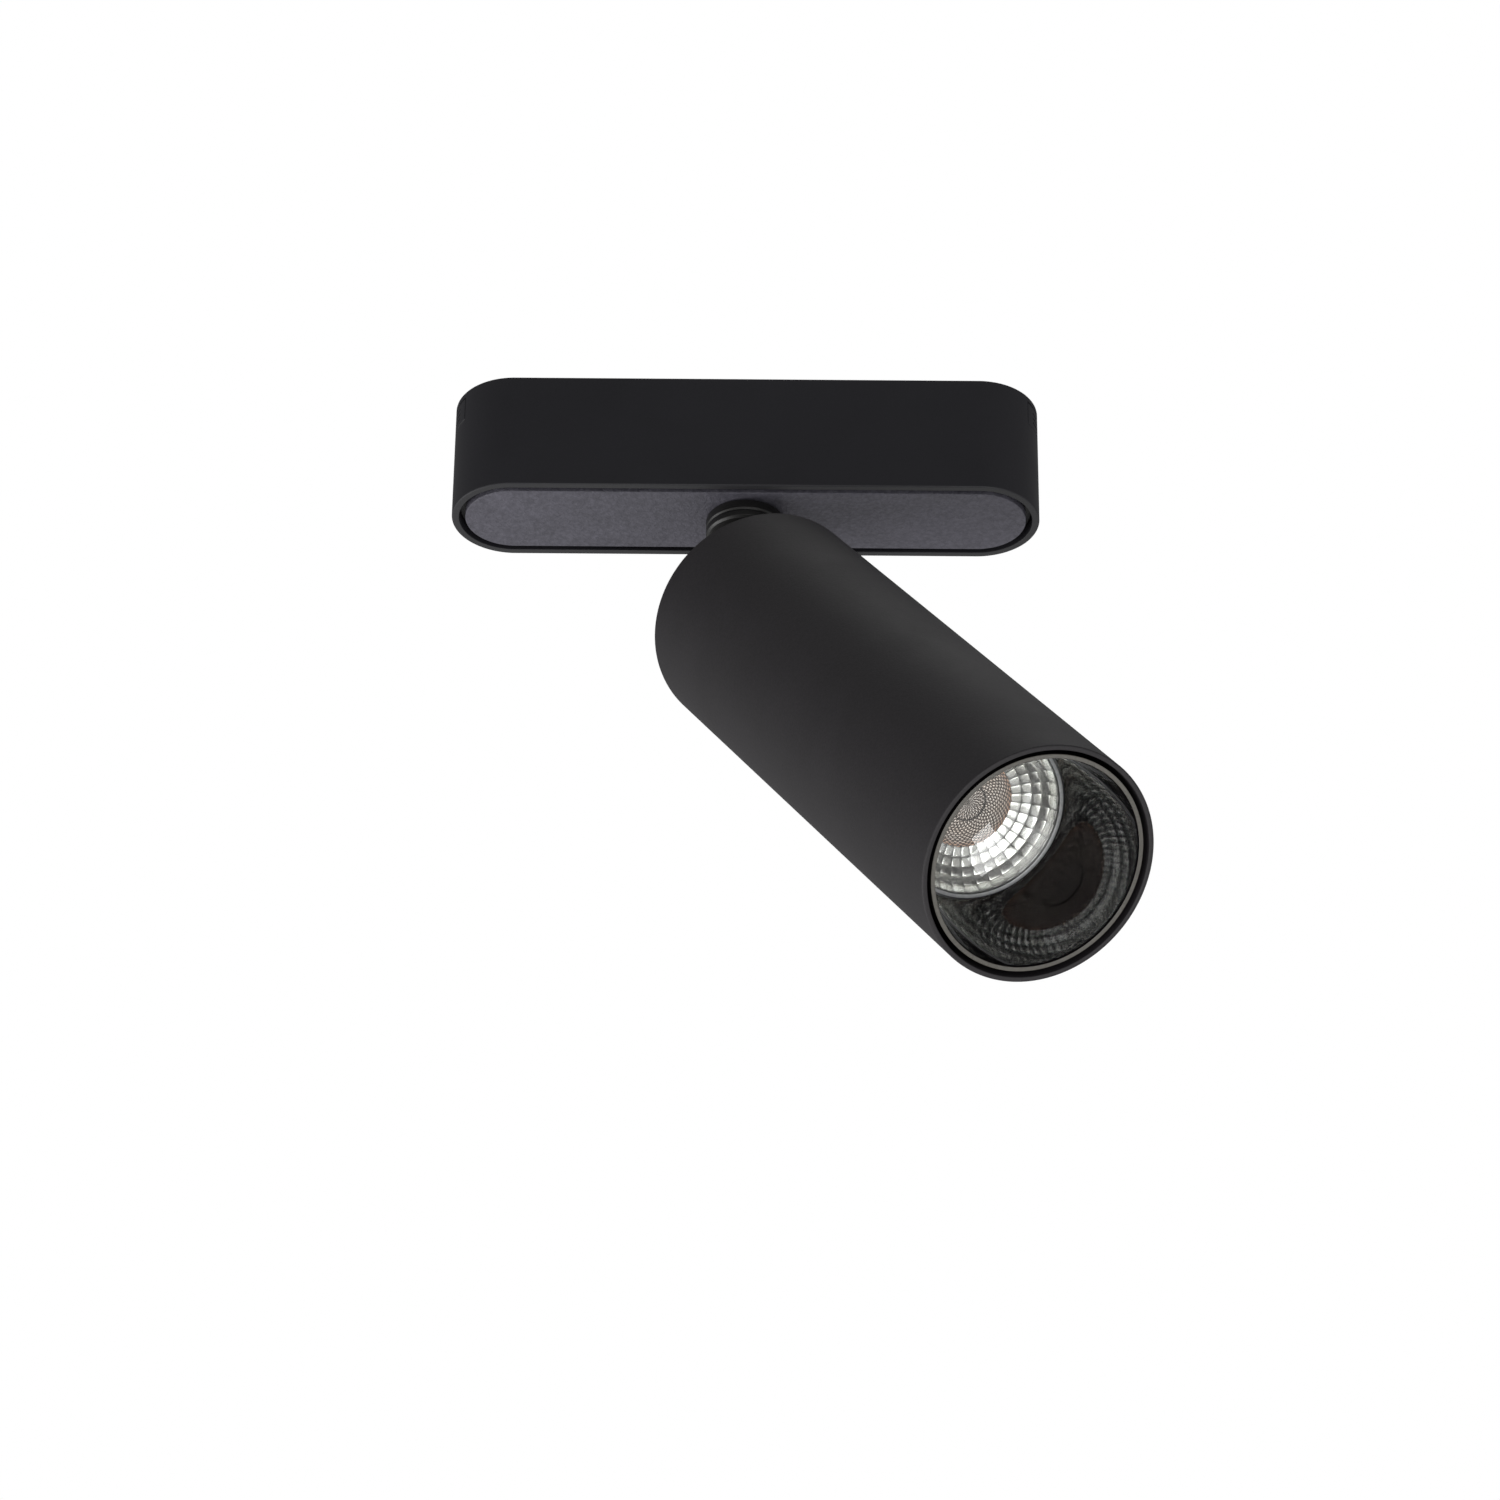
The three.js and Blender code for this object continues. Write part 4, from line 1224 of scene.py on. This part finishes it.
# Soft boxes: name, place, aim, width and height in metres, power in watts.
LAMPS = (
    ("left_soft_box", (-0.95, 0.10, -0.80), (0.0, -0.04, -0.12), 0.5, 0.8, 7.0),
    ("top_soft_box", (0.25, 0.15, 1.25), (0.0, 0.0, 0.0), 1.0, 0.8, 1.5),
    ("mouth_soft_box", (0.29, -0.92, -0.97), (0.055, -0.067, -0.168), 0.9, 0.9, 6.0),
    ("window_soft_box", (0.722, -0.302, -0.875), (0.055, -0.067, -0.168), 0.105, 0.124, 0.34),
)


class SPOTLIGHT_OT_stage(bpy.types.Operator):
    """Set up the camera, the soft boxes, the backdrop and the pale floor"""

    bl_idname = "spotlight.stage"
    bl_label = "Stage"

    def execute(self, context):
        settings = context.scene.spotlight_stage
        deselect()
        bpy.ops.object.camera_add(
            location=CAMERA_PLACE,
            rotation=[math.radians(angle) for angle in CAMERA_TURN],
        )
        camera = named("view_camera")
        camera.data.lens = settings.lens
        camera.data.sensor_width = SENSOR_WIDTH
        camera.data.dof.use_dof = False
        context.scene.camera = camera
        for name, place, aim, wide, high, power in LAMPS:
            self.add_lamp(name, Vector(place), Vector(aim), wide, high, power)
        self.add_floor(settings.floor_drop)
        self.light_world(context.scene, settings)
        context.scene.view_settings.view_transform = "Standard"
        return DONE

    @staticmethod
    def add_lamp(name, place, aim, wide, high, power):
        turn = (place - aim).to_track_quat("Z", "Y").to_euler()
        bpy.ops.object.light_add(type="AREA", location=place, rotation=turn)
        lamp = named(name)
        lamp.data.shape = "RECTANGLE"
        lamp.data.size = wide
        lamp.data.size_y = high
        lamp.data.energy = power
        lamp.visible_camera = False

    @staticmethod
    def add_floor(drop):
        deselect()
        bpy.ops.mesh.primitive_plane_add(size=FLOOR_SIZE, location=(0, 0, -drop))
        floor = named("pale_floor")
        bpy.ops.object.transform_apply(location=True, rotation=True, scale=True)
        floor.data.materials.append(surface("floor_pale"))

    @staticmethod
    def light_world(scene, settings):
        world = bpy.data.worlds.new("soft_studio")
        scene.world = world
        world.use_nodes = True
        tree = world.node_tree
        tree.nodes.clear()
        seen = add_node(tree, "ShaderNodeBackground", {"Color": (*settings.backdrop, 1), "Strength": 1.0})
        lit = add_node(tree, "ShaderNodeBackground", {"Color": (1, 1, 1, 1), "Strength": settings.ambient})
        path = add_node(tree, "ShaderNodeLightPath")
        mix = add_node(
            tree,
            "ShaderNodeMixShader",
            {0: path.outputs["Is Camera Ray"], 1: lit.outputs[0], 2: seen.outputs[0]},
        )
        shown = add_node(tree, "ShaderNodeOutputWorld")
        tree.links.new(mix.outputs[0], shown.inputs["Surface"])


# ---- Panel and registration ----

PIECE_OPERATORS = (
    SPOTLIGHT_OT_housing,
    SPOTLIGHT_OT_bottom_plate,
    SPOTLIGHT_OT_release_tabs,
    SPOTLIGHT_OT_top_cover,
    SPOTLIGHT_OT_magnets,
    SPOTLIGHT_OT_contacts,
    SPOTLIGHT_OT_cover_screws,
    SPOTLIGHT_OT_neck,
    SPOTLIGHT_OT_pivot_hardware,
    SPOTLIGHT_OT_head_tube,
    SPOTLIGHT_OT_rear_cap,
    SPOTLIGHT_OT_baffle,
    SPOTLIGHT_OT_optic,
    SPOTLIGHT_OT_inner_finishes,
    SPOTLIGHT_OT_stage,
)


class SPOTLIGHT_PT_build(bpy.types.Panel):
    """Lists the spotlight's pieces and their sizes"""

    bl_idname = "SPOTLIGHT_PT_build"
    bl_label = "Track Spotlight"
    bl_space_type = "VIEW_3D"
    bl_region_type = "UI"
    bl_category = "Spotlight"

    def draw(self, context):
        for group in SETTINGS:
            settings = getattr(context.scene, group)
            for name in settings.__annotations__:
                self.layout.prop(settings, name)
        for operator in PIECE_OPERATORS:
            self.layout.operator(operator.bl_idname)


SETTINGS = {
    "spotlight_box": SpotlightBox,
    "spotlight_head": SpotlightHead,
    "spotlight_optic": SpotlightOptic,
    "spotlight_stage": SpotlightStage,
}
CLASSES = (*SETTINGS.values(), *PIECE_OPERATORS, SPOTLIGHT_PT_build)


def register():
    for made in CLASSES:
        bpy.utils.register_class(made)
    for name, group in SETTINGS.items():
        setattr(bpy.types.Scene, name, PointerProperty(type=group))


def unregister():
    for name in SETTINGS:
        delattr(bpy.types.Scene, name)
    for made in reversed(CLASSES):
        bpy.utils.unregister_class(made)


def main():
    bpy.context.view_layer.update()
    register()
    for operator in PIECE_OPERATORS:
        name = operator.bl_idname.split(".")[1]
        getattr(bpy.ops.spotlight, name)()
    deselect()


if __name__ == "__main__":
    main()
